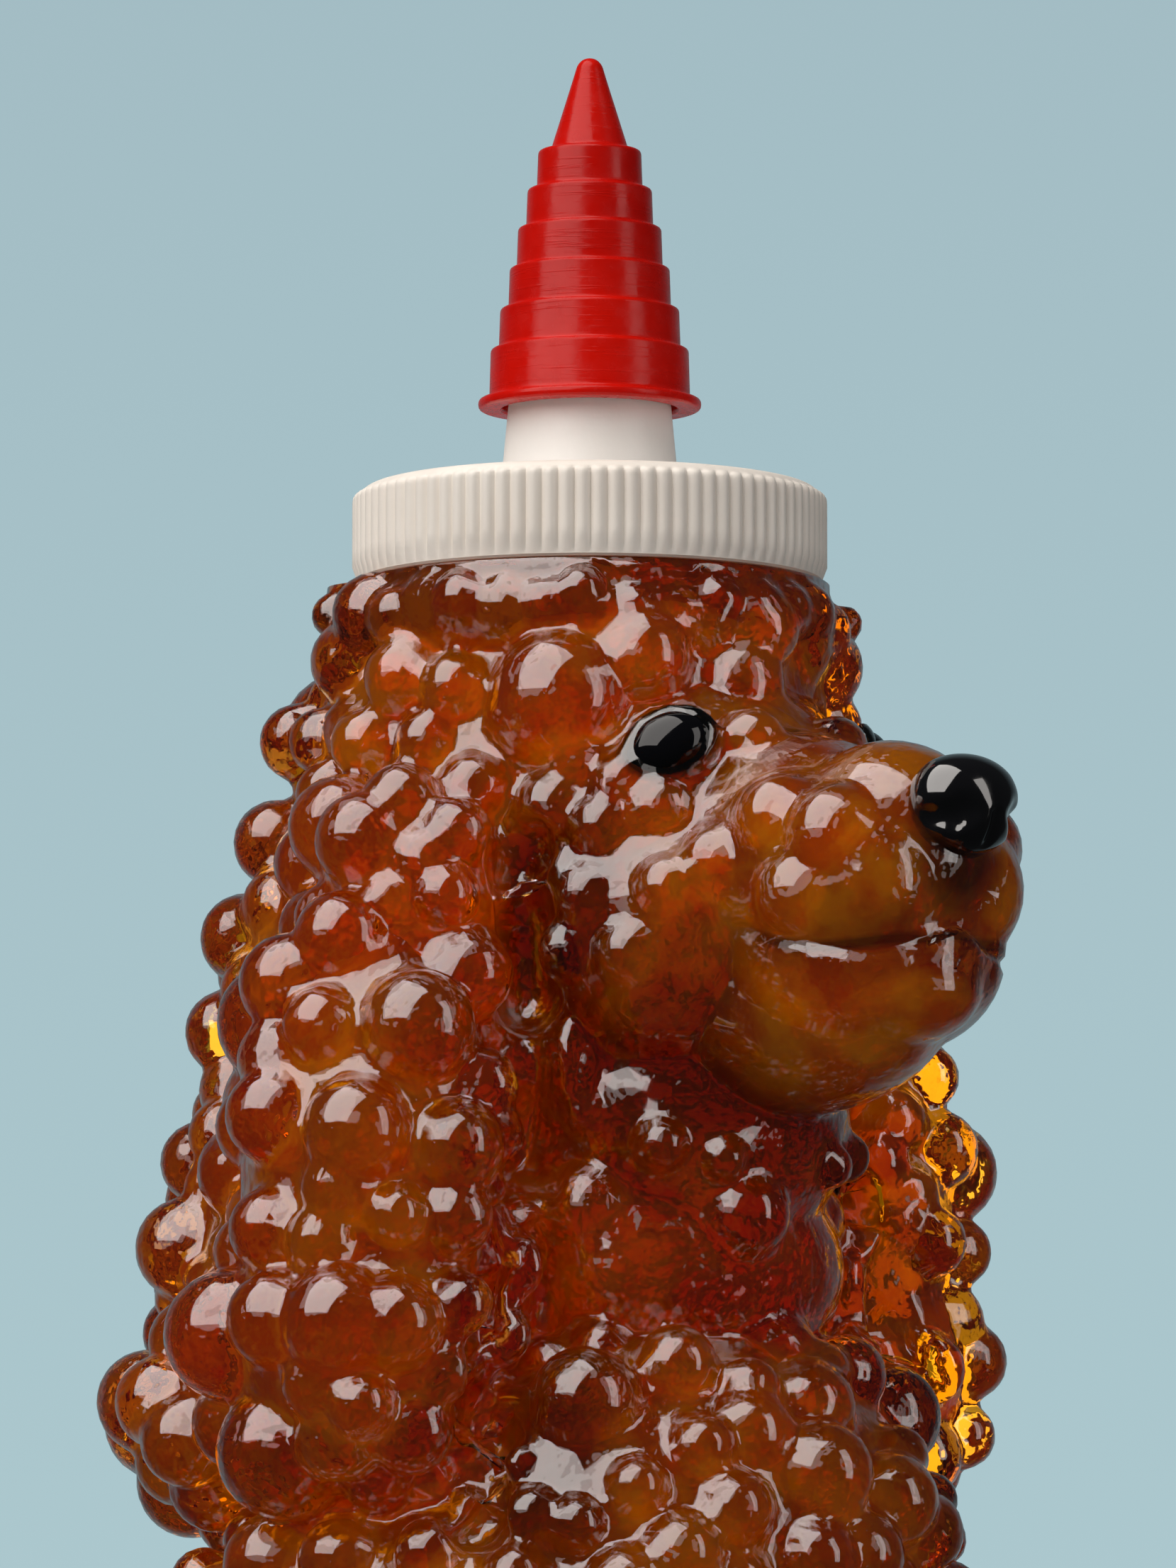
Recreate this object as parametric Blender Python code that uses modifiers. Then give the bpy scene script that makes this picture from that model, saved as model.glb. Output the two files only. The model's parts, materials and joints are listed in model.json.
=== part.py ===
# Honey bottle shaped as a sitting poodle, with a screw collar, a spout and a push-on cap.
#
# The dog faces -Y and sits on the XY plane, with its neck finish on the Z axis.
# Lengths are in metres. Sizes seen in the photograph are worked out from the collar, which is
# taken as a 38 mm closure; the haunches, paws, tail and base are what such a bottle would have.

from math import asin, cos, pi, radians, sin, sqrt

import bmesh
import bpy
from mathutils import Euler, Matrix, Vector

# Body of the bottle
body_height = 0.157
body_half_width = 0.040
nose_reach = 0.0485
wall = 0.0016
face_wall = 0.0042
base_thickness = 0.0018
push_up_depth = 0.0022
push_up_radius = 0.016
crown_cut = 0.0005

# Curls
curl_radius = 0.0042
curl_spacing = 0.0072
curl_swing_share = 0.28
curl_stand_share = 0.50
curl_stray_share = 0.50
hair_inset = 0.0009

# Neck finish and its mouth
neck_height = 0.0050
neck_bore = 0.0310
neck_wall = 0.0019
neck_outer = neck_bore + 2 * neck_wall
neck_root = 0.0060
mouth_bevel = 0.0004

# Fit of the collar on the neck, with room for the thread
thread_clearance = 0.0011
seat_gap = 0.0003

# Sealing liner, a washer on the mouth
liner_overlap = 0.0018
liner_thickness = 0.0006
liner_outer = neck_outer - 2 * mouth_bevel
liner_bore = neck_bore - 2 * liner_overlap

# Screw collar, 40 mm outside over its ribs
collar_wall = 0.00108
collar_lip_thickness = 0.0011
collar_skirt_gap = 0.0004
collar_shoulder = 0.0013
rib_count = 90
rib_depth = 0.00042
rib_head = 0.00005
rib_foot = 0.00015
rib_width_share = 0.78
collar_bore = neck_outer + 2 * thread_clearance
collar_outer = collar_bore + 2 * (collar_wall + rib_depth)

# Spout cap, from its flange up
cap_lift = 0.0067
cap_flange_lip = 0.00105
cap_flange_thickness = 0.0009
cap_wall = 0.0010
cap_edge = 0.00045
cap_foot_outer = 0.0167
cap_step_outer_shares = (1.0, 0.904, 0.808, 0.7246, 0.629, 0.521)
cap_foot_height = 0.00425
cap_step_height_shares = (1.0, 0.812, 0.812, 0.812, 0.788, 0.776)
cap_cone_outer_share = 0.395
cap_cone_height = 0.0079
cap_tip_outer_share = 0.156
cap_tip_core_share = 0.036
cone_lean = radians(14)

# Spout, a flange that the collar clamps and a cone that the cap covers
flange_thickness = 0.0009
spout_root_outer = 0.0150
spout_wall = 0.0011
spout_edge = 0.0004
spout_knee_lap = 0.0015
spout_clearance = 0.0006
orifice = 0.0036
orifice_land = 0.0016

# Eyes and nose
eye_half_length = 0.0037
eye_half_height = 0.0026
eye_half_depth = 0.0019
eye_turn = radians(46)
eye_lift = radians(12)
eye_slant = radians(24)
lid = 0.0014
lid_setback = 0.0008
nose_half_width = 0.0054
nose_half_depth = 0.0040
nose_half_height = 0.0042
nose_halves = (nose_half_width, nose_half_depth, nose_half_height)
nose_cage_share = 1.22
nose_foot_share = 0.74
nostril_radius = 0.0013
nostril_share = (0.42, -0.86, 0.12)

# Honey
honey_gap = 0.00045
honey_level = 0.0004

# Fineness of the model
grain = 0.0009
cut_overrun = 0.002
merge_reach = 0.00001
crease_angle = radians(40)
curl_crease_angle = radians(75)
cutter_reach = 2 * body_height
skin_face_count = 6950
hollow_face_count = 480
skin_smooth_count = 1
hollow_smooth_count = 26
neck_step_count = 32
round_step_count = 24
collar_step_count = 45
cap_step_count = 18
push_up_step_count = 24
arc_step_count = 3

# Heights of the closure, from the base
mouth_z = body_height + neck_height
liner_z = mouth_z + seat_gap
flange_z = liner_z + liner_thickness + seat_gap
collar_top = flange_z + flange_thickness + seat_gap + collar_lip_thickness
collar_bottom = body_height + collar_skirt_gap
cap_z = collar_top + cap_lift

# Steps of the cap, and the spout that fits inside them
cap_step_outers = [cap_foot_outer * share for share in cap_step_outer_shares]
cap_step_heights = [cap_foot_height * share for share in cap_step_height_shares]
spout_covered_steps = 4
spout_knee_z = cap_z + spout_knee_lap
spout_knee_outer = cap_foot_outer - 2 * (cap_wall + spout_clearance)
spout_tip_z = (
    cap_z + cap_flange_thickness + sum(cap_step_heights[:spout_covered_steps]) - cap_wall + seat_gap
)
spout_tip_outer = cap_step_outers[spout_covered_steps] - 2 * (cap_wall + spout_clearance)

# Forms of the dog: name, place and half sizes.
# Each row of shares is (across, forward, up) for the place, then for the half sizes.
# Across is a share of the half width, forward of the nose's reach, and up of the body's height.
plain_form_shares = {
    "skull": ((0.0, 0.165, 0.847), (0.46, 0.42, 0.115)),
    "muzzle_root": ((0.0, 0.495, 0.841), (0.285, 0.289, 0.069)),
    "muzzle_tip": ((0.0, 0.742, 0.841), (0.22, 0.190, 0.0586)),
    "chin": ((0.0, 0.768, 0.7675), (0.155, 0.144, 0.0287)),
    "jaw": ((0.0, 0.515, 0.761), (0.25, 0.309, 0.0541)),
    "throat": ((0.0, 0.247, 0.713), (0.35, 0.268, 0.0892)),
    "shoulder": ((0.0, 0.0, 0.983), (0.522, 0.430, 0.020)),
}
plain_pair_shares = {
    "flew": ((0.125, 0.763, 0.8217), (0.1475, 0.154, 0.0425)),
    "muzzle_side": ((0.13, 0.60, 0.831), (0.165, 0.230, 0.0560)),
    "cheek": ((0.20, 0.330, 0.806), (0.225, 0.247, 0.0790)),
    "hind_paw": ((0.64, 0.37, 0.0446), (0.225, 0.289, 0.0573)),
    "front_paw": ((0.3125, 0.68, 0.0382), (0.2125, 0.227, 0.0478)),
}
curly_form_shares = {
    "head_hair": ((0.0, -0.052, 0.892), (0.575, 0.464, 0.153)),
    "fringe": ((0.0, 0.062, 0.930), (0.475, 0.381, 0.1146)),
    "nape": ((0.0, -0.165, 0.771), (0.6375, 0.485, 0.166)),
    "neck": ((0.0, -0.165, 0.669), (0.625, 0.515, 0.191)),
    "mane": ((0.0, -0.289, 0.618), (0.70, 0.515, 0.191)),
    "mane_hem": ((0.0, -0.258, 0.554), (0.80, 0.577, 0.070)),
    "chest": ((0.0, 0.206, 0.478), (0.65, 0.412, 0.140)),
    "torso": ((0.0, -0.021, 0.331), (0.925, 0.742, 0.2675)),
    "base": ((0.0, 0.041, 0.108), (0.875, 0.742, 0.166)),
    "tail": ((0.0, -0.763, 0.2357), (0.2375, 0.196, 0.0605)),
}
curly_pair_shares = {
    "ear_root": ((0.54, 0.041, 0.815), (0.22, 0.206, 0.0764)),
    "ear_lobe": ((0.65, 0.031, 0.669), (0.275, 0.258, 0.159)),
    "ear_end": ((0.675, 0.031, 0.592), (0.2875, 0.268, 0.086)),
    "haunch": ((0.55, -0.165, 0.185), (0.425, 0.536, 0.172)),
    "front_leg": ((0.3, 0.495, 0.223), (0.2375, 0.196, 0.191)),
}
# Curls that show in a three-quarter view from the dog's right, placed by eye.
# Each row is (right, down, radius): right of the neck axis as a share of the half width, down from
# the collar's lower edge as a share of the body's height, and the radius as a share of a curl's.
seen_curl_shares = [
    # Crown
    (-0.543, 0.032, 0.43), (-0.453, 0.034, 0.79), (-0.276, 0.033, 0.64), (-0.198, 0.033, 0.40),
    (-0.498, 0.057, 0.83), (-0.386, 0.066, 0.79), (-0.281, 0.071, 0.64), (-0.626, 0.100, 0.74),
    (-0.566, 0.100, 0.64), (-0.468, 0.102, 0.69), (-0.341, 0.100, 0.57), (-0.063, 0.078, 1.31),
    (-0.146, 0.085, 0.62), (0.110, 0.055, 0.89), (-0.018, 0.020, 0.45), (0.350, 0.040, 0.82),
    (0.485, 0.060, 0.86), (0.240, 0.036, 0.60), (0.549, 0.037, 0.36), (0.335, 0.099, 0.62),
    (-0.108, 0.034, 0.57),
    # Near ear
    (-0.386, 0.131, 0.74), (-0.240, 0.125, 0.66), (-0.543, 0.129, 0.69), (-0.468, 0.152, 0.93),
    (-0.566, 0.165, 0.89), (-0.273, 0.148, 0.69), (-0.296, 0.181, 0.60), (-0.161, 0.183, 0.42),
    (-0.686, 0.150, 0.83), (-0.731, 0.206, 0.86), (-0.513, 0.202, 0.86), (-0.251, 0.223, 0.89),
    (-0.348, 0.249, 1.07), (-0.551, 0.249, 0.74), (-0.783, 0.257, 0.81), (-0.731, 0.288, 0.86),
    (-0.768, 0.311, 0.71), (-0.476, 0.303, 1.00), (-0.266, 0.312, 0.86), (-0.648, 0.225, 0.64),
    (-0.513, 0.333, 0.71), (-0.198, 0.343, 0.69), (-0.266, 0.349, 0.71), (-0.851, 0.372, 0.97),
    (-0.930, 0.376, 0.45), (-0.656, 0.356, 0.79), (-0.543, 0.361, 0.69), (-0.393, 0.347, 0.57),
    (-0.648, 0.402, 0.89), (-0.513, 0.402, 1.03), (-0.393, 0.403, 0.86), (-0.258, 0.395, 0.66),
    (-0.236, 0.429, 0.51), (-0.176, 0.421, 0.30), (-0.896, 0.452, 0.89), (-0.731, 0.461, 0.86),
    (-0.551, 0.435, 0.71), (-0.513, 0.465, 0.79), (-0.360, 0.461, 0.79), (-0.266, 0.456, 0.40),
    # Chest and back below the ear
    (-0.513, 0.528, 0.79), (-0.326, 0.523, 0.69), (-0.873, 0.536, 0.64), (-0.693, 0.523, 0.64),
    (-0.003, 0.347, 0.93), (0.320, 0.351, 0.86), (0.275, 0.320, 0.42), (0.485, 0.356, 0.79),
    (0.005, 0.404, 0.69), (0.177, 0.427, 0.79), (-0.011, 0.444, 1.03), (0.320, 0.400, 0.69),
    (0.327, 0.439, 0.60), (0.447, 0.408, 0.83), (0.590, 0.429, 0.71), (0.477, 0.433, 0.60),
    (0.477, 0.484, 1.00), (0.635, 0.479, 0.64), (0.297, 0.500, 0.71), (0.185, 0.523, 0.79),
    (0.095, 0.488, 0.57), (0.462, 0.528, 0.79), (0.687, 0.519, 0.83), (-0.026, 0.507, 0.54),
    (-0.120, 0.502, 0.54), (-0.153, 0.532, 0.57), (0.147, 0.312, 0.50), (-0.018, 0.295, 0.40),
    # Far ear
    (0.605, 0.328, 0.64), (0.747, 0.321, 0.74), (0.725, 0.371, 0.69), (0.804, 0.379, 0.66),
    (0.717, 0.439, 0.71), (0.810, 0.437, 0.74), (0.822, 0.482, 0.63), (0.717, 0.282, 0.64),
]
seen_turn = radians(43)
seen_tilt = radians(-6.2)
seen_lift_share = 0.0153

faced = ("skull", "muzzle_root", "cheek", "throat")
solid_through = ("muzzle_tip", "muzzle_side", "chin", "jaw", "flew", "hind_paw", "front_paw", "tail",
                 "ear_root")
face_front_share = 0.30
face_foot_share = 0.70
crowding_share = 0.74
eye_share = (0.2875, 0.4515, 0.900)
nose_share = (0.0, 0.9175, 0.861)

golden_turn = pi * (3 - sqrt(5))


def material(name, colour, roughness, transmission=0.0):
    """A Principled material with one plain colour."""
    made = bpy.data.materials.new(name)
    made.use_nodes = True
    shader = made.node_tree.nodes["Principled BSDF"]
    shader.inputs["Base Color"].default_value = (*colour, 1)
    shader.inputs["Roughness"].default_value = roughness
    shader.inputs["Metallic"].default_value = 0
    shader.inputs["Transmission Weight"].default_value = transmission
    made.diffuse_color = (*colour, 1)
    return made


def add_object(name, mesh, collection, paint=None):
    made = bpy.data.objects.new(name, mesh)
    collection.objects.link(made)
    if paint:
        mesh.materials.append(paint)
    return made


def add_cutter(name, mesh):
    made = add_object(name, mesh, cutters)
    made.hide_render = True
    made.display_type = "WIRE"
    return made


def mesh_from(bm, name):
    mesh = bpy.data.meshes.new(name)
    bm.to_mesh(mesh)
    bm.free()
    return mesh


def evaluated_mesh(obj):
    """The mesh of this object with its modifiers applied, in place of the old one."""
    bpy.context.view_layer.update()
    graph = bpy.context.evaluated_depsgraph_get()
    mesh = bpy.data.meshes.new_from_object(obj.evaluated_get(graph), depsgraph=graph)
    obj.modifiers.clear()
    obj.data = mesh
    return mesh


def boolean(obj, other, operation):
    cut = obj.modifiers.new(operation.lower() + "_" + other.name, "BOOLEAN")
    cut.object = other
    cut.operation = operation
    cut.solver = "EXACT"


def turned_mesh(name, profile, steps):
    """A profile of (radius, height) points, closed on itself, turned round the Z axis."""
    bm = bmesh.new()
    points = [bm.verts.new((radius, 0, height)) for radius, height in profile]
    for here, following in zip(points, points[1:] + points[:1]):
        if max(here.co.x, following.co.x) > merge_reach:
            bm.edges.new((here, following))
    turned = add_cutter(name + "_profile", mesh_from(bm, name))
    screw = turned.modifiers.new("turn", "SCREW")
    screw.steps = screw.render_steps = steps
    screw.use_merge_vertices = True
    screw.merge_threshold = merge_reach
    mesh = evaluated_mesh(turned)
    bpy.data.objects.remove(turned)
    bm = bmesh.new()
    bm.from_mesh(mesh)
    bmesh.ops.recalc_face_normals(bm, faces=bm.faces)
    bmesh.ops.rotate(bm, verts=bm.verts, matrix=Matrix.Rotation(pi / steps, 3, "Z"))
    bm.to_mesh(mesh)
    bm.free()
    mesh.shade_smooth()
    mesh.set_sharp_from_angle(angle=crease_angle)
    return mesh


def arc(centre_r, centre_z, radius, start, end, count):
    """Points of an arc in the (radius, height) plane, from one angle to another."""
    turns = [start + (end - start) * step / count for step in range(count + 1)]
    return [(centre_r + radius * cos(turn), centre_z + radius * sin(turn)) for turn in turns]


def form(shares, side=1):
    """The place and half sizes of one form of the dog."""
    (across, forward, up), (half_across, half_forward, half_up) = shares
    place = Vector((side * across * body_half_width, -forward * nose_reach, up * body_height))
    halves = Vector(
        (half_across * body_half_width, half_forward * nose_reach, half_up * body_height)
    )
    return place, halves


def all_forms(singles, pairs):
    """Every form by name, the paired ones on both sides."""
    forms = {name: form(shares) for name, shares in singles.items()}
    for name, shares in pairs.items():
        forms[name + "_right"] = form(shares, -1)
        forms[name + "_left"] = form(shares, 1)
    return forms


def add_ellipsoid(bm, place, halves, detail=3, turn=Matrix.Identity(4)):
    size = Matrix.Diagonal((*halves, 1))
    bmesh.ops.create_icosphere(
        bm, subdivisions=detail, radius=1, matrix=Matrix.Translation(place) @ turn @ size
    )


def depth_in(point, place, halves):
    """Below 1 inside the ellipsoid, above 1 outside it."""
    return sqrt(sum(((point[i] - place[i]) / halves[i]) ** 2 for i in range(3)))


def on_seen_ray(start, way, forms, sunk, stray):
    """Where a curl sits on the ray: sunk into the outermost form that the ray meets.

    A ray that meets none is taken where it passes one closest, and no further off than stray.
    """
    hits = []
    misses = []
    for place, halves in forms.values():
        here = Vector([(start[i] - place[i]) / halves[i] for i in range(3)])
        step = Vector([way[i] / halves[i] for i in range(3)])
        middle = -here.dot(step) / step.dot(step)
        nearest = (here + step * middle).length
        if nearest < 1:
            hits.append(middle + sqrt(1 - nearest * nearest) / step.length)
        else:
            out = start + way * middle - place
            held = min(nearest, 1 + stray / max(halves))
            misses.append((nearest, place + out * (held / nearest)))
    return start + way * (max(hits) - sunk) if hits else min(misses)[1]


def clear_of(centre, radius, places):
    return all(
        (centre - spot).length > crowding_share * (radius + other) for spot, other in places
    )


def seen_curls(forms):
    """The curls placed by eye, each where its ray meets the dog, and again on the other side."""
    way = Vector((
        -sin(seen_turn) * cos(seen_tilt), -cos(seen_turn) * cos(seen_tilt), sin(seen_tilt)
    ))
    right = Vector((cos(seen_turn), -sin(seen_turn), 0)) * body_half_width
    places = []
    for across, down, size in seen_curl_shares:
        start = right * across
        start.z = collar_bottom + (seen_lift_share - down) * body_height
        radius = size * curl_radius
        sunk = radius * (1 - 2 * curl_stand_share)
        stray = radius * curl_stray_share
        places.append((on_seen_ray(start, way, forms, sunk, stray), radius))
    for centre, radius in list(places):
        twin = centre * Vector((-1, 1, 1))
        if clear_of(twin, radius, places):
            places.append((twin, radius))
    return places


def curl_places(forms, curly):
    """Centres and radii of all the curls: those placed by eye, then a fill of the rest.

    The fill runs round each curly form at an even spacing, on the dog's left and again on its
    right, and leaves out what another form hides, what crowds a curl and what is on the face.
    """
    places = seen_curls(forms)
    brow_z = eye_matrix(1).translation.z + eye_half_length
    for name in curly:
        place, halves = forms[name]
        mean = sum(halves) / 3
        count = int(4 * pi * mean * mean / (curl_spacing * curl_spacing))
        for index in range(count):
            height = 1 - 2 * (index + 0.5) / count
            ring = sqrt(1 - height * height)
            turn = golden_turn * index
            way = Vector((ring * cos(turn), ring * sin(turn), height))
            radius = curl_radius * (1 + curl_swing_share * sin(golden_turn * index + count))
            sunk = radius * (1 - 2 * curl_stand_share)
            centre = place + Vector([way[i] * (halves[i] - sunk) for i in range(3)])
            if abs(centre.x) < radius / 2:
                centre.x = 0
            point = place + Vector([way[i] * halves[i] for i in range(3)])
            hidden = any(
                depth_in(point, *other) < 1 for key, other in forms.items() if key != name
            )
            bare = not radius < centre.z < body_height or centre.x < 0
            on_face = (
                -centre.y > face_front_share * nose_reach
                and face_foot_share * body_height < centre.z < brow_z
            )
            if not (hidden or bare or on_face):
                for twin in (centre, centre * Vector((-1, 1, 1))):
                    if clear_of(twin, radius, places):
                        places.append((twin, radius))
    return places


def keep_biggest(mesh):
    """Deletes the loose slivers that thinning can leave beside the one big skin."""
    bm = bmesh.new()
    bm.from_mesh(mesh)
    unseen = set(bm.verts)
    pieces = []
    while unseen:
        front = [unseen.pop()]
        piece = []
        while front:
            vert = front.pop()
            piece.append(vert)
            near = {edge.other_vert(vert) for edge in vert.link_edges} & unseen
            unseen -= near
            front.extend(near)
        pieces.append(piece)
    for piece in sorted(pieces, key=len)[:-1]:
        bmesh.ops.delete(bm, geom=piece, context="VERTS")
    bm.to_mesh(mesh)
    bm.free()


def fused(bm, name, faces, rounds):
    """One closed skin round everything in the mesh, softened and thinned to about these faces."""
    skin = add_cutter(name, mesh_from(bm, name))
    remesh = skin.modifiers.new("fuse", "REMESH")
    remesh.mode = "VOXEL"
    remesh.voxel_size = grain
    smooth = skin.modifiers.new("soften", "SMOOTH")
    smooth.iterations = rounds
    smooth.factor = 0.5
    found = len(evaluated_mesh(skin).polygons) * 2
    thin = skin.modifiers.new("thin", "DECIMATE")
    thin.ratio = min(1.0, faces / found)
    keep_biggest(evaluated_mesh(skin))
    return skin


def add_box(name, low, high):
    """A box cutter from one corner to the other."""
    bm = bmesh.new()
    middle = (Vector(low) + Vector(high)) / 2
    size = Matrix.Diagonal((*(Vector(high) - Vector(low)), 1))
    bmesh.ops.create_cube(bm, size=1, matrix=Matrix.Translation(middle) @ size)
    return add_cutter(name, mesh_from(bm, name))


def eye_matrix(side):
    """The eye's place and turn: its length rises toward the nose and it looks out and up."""
    place, _ = form((eye_share, (0, 0, 0)), side)
    turn = Euler((0, 0, side * eye_turn)).to_matrix().to_4x4()
    lift = Euler((-eye_lift, 0, 0)).to_matrix().to_4x4()
    slant = Euler((0, side * eye_slant, 0)).to_matrix().to_4x4()
    return Matrix.Translation(place) @ turn @ lift @ slant


def add_eye_form(bm, side, grow=(0.0, 0.0, 0.0), rings=8, segments=14):
    halves = Vector((eye_half_length, eye_half_depth, eye_half_height)) + Vector(grow)
    size = Matrix.Diagonal((*halves, 1))
    bmesh.ops.create_uvsphere(
        bm, u_segments=segments, v_segments=rings, radius=1, matrix=eye_matrix(side) @ size
    )


def add_nose_form(name, grow=0.0):
    """A rounded block, narrower below, from a coarse cage with Subdivision Surface."""
    place, _ = form((nose_share, (0, 0, 0)))
    bm = bmesh.new()
    bmesh.ops.create_cube(bm, size=2)
    cage = [half * nose_cage_share + grow for half in nose_halves]
    for vert in bm.verts:
        if vert.co.z < 0:
            vert.co.x *= nose_foot_share
        vert.co = place + Vector([vert.co[i] * cage[i] for i in range(3)])
    block = add_cutter(name, mesh_from(bm, name))
    soft = block.modifiers.new("soft", "SUBSURF")
    soft.levels = soft.render_levels = 2
    evaluated_mesh(block)
    return block


def dog_forms():
    """Every form of the dog by name, the curly ones drawn in under their curls."""
    forms = all_forms(plain_form_shares, plain_pair_shares)
    for name, (place, halves) in all_forms(curly_form_shares, curly_pair_shares).items():
        forms[name] = (place, halves - Vector((hair_inset, hair_inset, hair_inset)))
    return forms


def make_skin():
    """The outside of the moulded dog, with its curls and eyelids, before any cut."""
    forms = dog_forms()
    curly = [*curly_form_shares, *(name + "_left" for name in curly_pair_shares)]
    bm = bmesh.new()
    for place, halves in forms.values():
        add_ellipsoid(bm, place, halves)
    for centre, radius in curl_places(forms, curly):
        add_ellipsoid(bm, centre, Vector((radius, radius, radius)), 2)
    for side in (-1, 1):
        add_eye_form(bm, side, (lid, -lid_setback, lid))
    return fused(bm, "skin", skin_face_count, skin_smooth_count)


def make_hollow():
    """The inside of the moulded dog, with the bore of its neck."""
    bm = bmesh.new()
    for name, (place, halves) in dog_forms().items():
        if not name.startswith(solid_through):
            inset = face_wall if name.startswith(faced) else wall
            add_ellipsoid(bm, place, halves - Vector((inset, inset, inset)))
    hollow = fused(bm, "hollow", hollow_face_count, hollow_smooth_count)
    floor = base_thickness + push_up_depth
    for vert in hollow.data.vertices:
        vert.co.z = max(vert.co.z, floor)
    bore = neck_bore / 2
    column = turned_mesh(
        "bore_column",
        [(0, mouth_z + cut_overrun), (bore, mouth_z + cut_overrun),
         (bore, body_height - neck_root), (0, body_height - neck_root)],
        neck_step_count,
    )
    boolean(hollow, add_cutter("bore_column", column), "UNION")
    evaluated_mesh(hollow)
    return hollow


def make_bottle(hollow):
    """The moulded dog with its neck finish, hollow, sockets, nose seat and pushed-up base."""
    bottle = make_skin()
    far = cutter_reach
    shoulder = body_height - crown_cut
    boolean(bottle, add_box("above_shoulder", (-far, -far, shoulder), (far, far, far)), "DIFFERENCE")
    boolean(bottle, add_box("below_base", (-far, -far, -far), (far, far, 0)), "DIFFERENCE")
    outer = neck_outer / 2
    neck = turned_mesh(
        "neck",
        [(0, mouth_z), (outer - mouth_bevel, mouth_z), (outer, mouth_z - mouth_bevel),
         (outer, body_height - neck_root), (0, body_height - neck_root)],
        neck_step_count,
    )
    boolean(bottle, add_cutter("neck", neck), "UNION")
    boolean(bottle, hollow, "DIFFERENCE")
    rise = (push_up_radius ** 2 + push_up_depth ** 2) / (2 * push_up_depth)
    turn = asin(push_up_radius / rise)
    dome = arc(0, push_up_depth - rise, rise, pi / 2, pi / 2 - turn, arc_step_count)
    under = turned_mesh(
        "push_up", [*dome, (push_up_radius, -cut_overrun), (0, -cut_overrun)], push_up_step_count
    )
    boolean(bottle, add_cutter("push_up", under), "DIFFERENCE")
    bm = bmesh.new()
    for side in (-1, 1):
        add_eye_form(bm, side, (seat_gap, seat_gap, seat_gap))
    boolean(bottle, add_cutter("sockets", mesh_from(bm, "sockets")), "DIFFERENCE")
    boolean(bottle, add_nose_form("nose_seat", seat_gap), "DIFFERENCE")
    mesh = evaluated_mesh(bottle).copy()
    mesh.shade_smooth()
    mesh.set_sharp_from_angle(angle=curl_crease_angle)
    return add_object("bottle", mesh, parts, clear_amber)


def make_honey(hollow):
    """The fill: the hollow drawn in by the gap, and level in the neck."""
    bm = bmesh.new()
    bm.from_mesh(hollow.data)
    bm.normal_update()
    drawn_in = [vert.normal * min(vert.calc_shell_factor(), 2) for vert in bm.verts]
    for vert, way in zip(bm.verts, drawn_in):
        vert.co -= way * honey_gap
    fill = add_object("honey", mesh_from(bm, "honey"), parts, honey_amber)
    far = cutter_reach
    level = body_height + honey_level
    boolean(fill, add_box("above_level", (-far, -far, level), (far, far, far)), "DIFFERENCE")
    evaluated_mesh(fill).materials.append(honey_amber)
    return fill


def make_eyes():
    for side, name in ((-1, "eye_right"), (1, "eye_left")):
        bm = bmesh.new()
        add_eye_form(bm, side)
        mesh = mesh_from(bm, name)
        mesh.shade_smooth()
        add_object(name, mesh, parts, black_gloss)


def make_nose():
    """The nose, with its two nostrils pressed in at the front."""
    block = add_nose_form("nose_block")
    place, _ = form((nose_share, (0, 0, 0)))
    bm = bmesh.new()
    for side in (-1, 1):
        spot = Vector(
            [(side, 1, 1)[i] * nostril_share[i] * nose_halves[i] for i in range(3)]
        )
        bmesh.ops.create_uvsphere(
            bm, u_segments=10, v_segments=6, radius=nostril_radius,
            matrix=Matrix.Translation(place + spot),
        )
    boolean(block, add_cutter("nostrils", mesh_from(bm, "nostrils")), "DIFFERENCE")
    mesh = evaluated_mesh(block).copy()
    mesh.shade_smooth()
    mesh.set_sharp_from_angle(angle=crease_angle)
    return add_object("nose", mesh, parts, black_gloss)


def make_liner():
    outer, bore = liner_outer / 2, liner_bore / 2
    top = liner_z + liner_thickness
    profile = [(outer, top), (outer, liner_z), (bore, liner_z), (bore, top)]
    return add_object("sealing_liner", turned_mesh("liner", profile, round_step_count), parts, foam)


def make_spout():
    """A flange that the collar clamps, and a cone with a knee that the cap covers."""
    outers = [
        (neck_outer / 2, flange_z),
        (neck_outer / 2, flange_z + flange_thickness),
        (spout_root_outer / 2, flange_z + flange_thickness),
        (spout_knee_outer / 2, spout_knee_z),
        (spout_tip_outer / 2, spout_tip_z - spout_edge),
        (spout_tip_outer / 2 - spout_edge, spout_tip_z),
    ]
    bores = [
        (orifice / 2, spout_tip_z),
        (orifice / 2, spout_tip_z - orifice_land),
        (spout_knee_outer / 2 - spout_wall, spout_knee_z),
        (spout_root_outer / 2 - spout_wall, flange_z),
    ]
    mesh = turned_mesh("spout", outers + bores, round_step_count)
    return add_object("spout", mesh, parts, warm_white)


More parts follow.
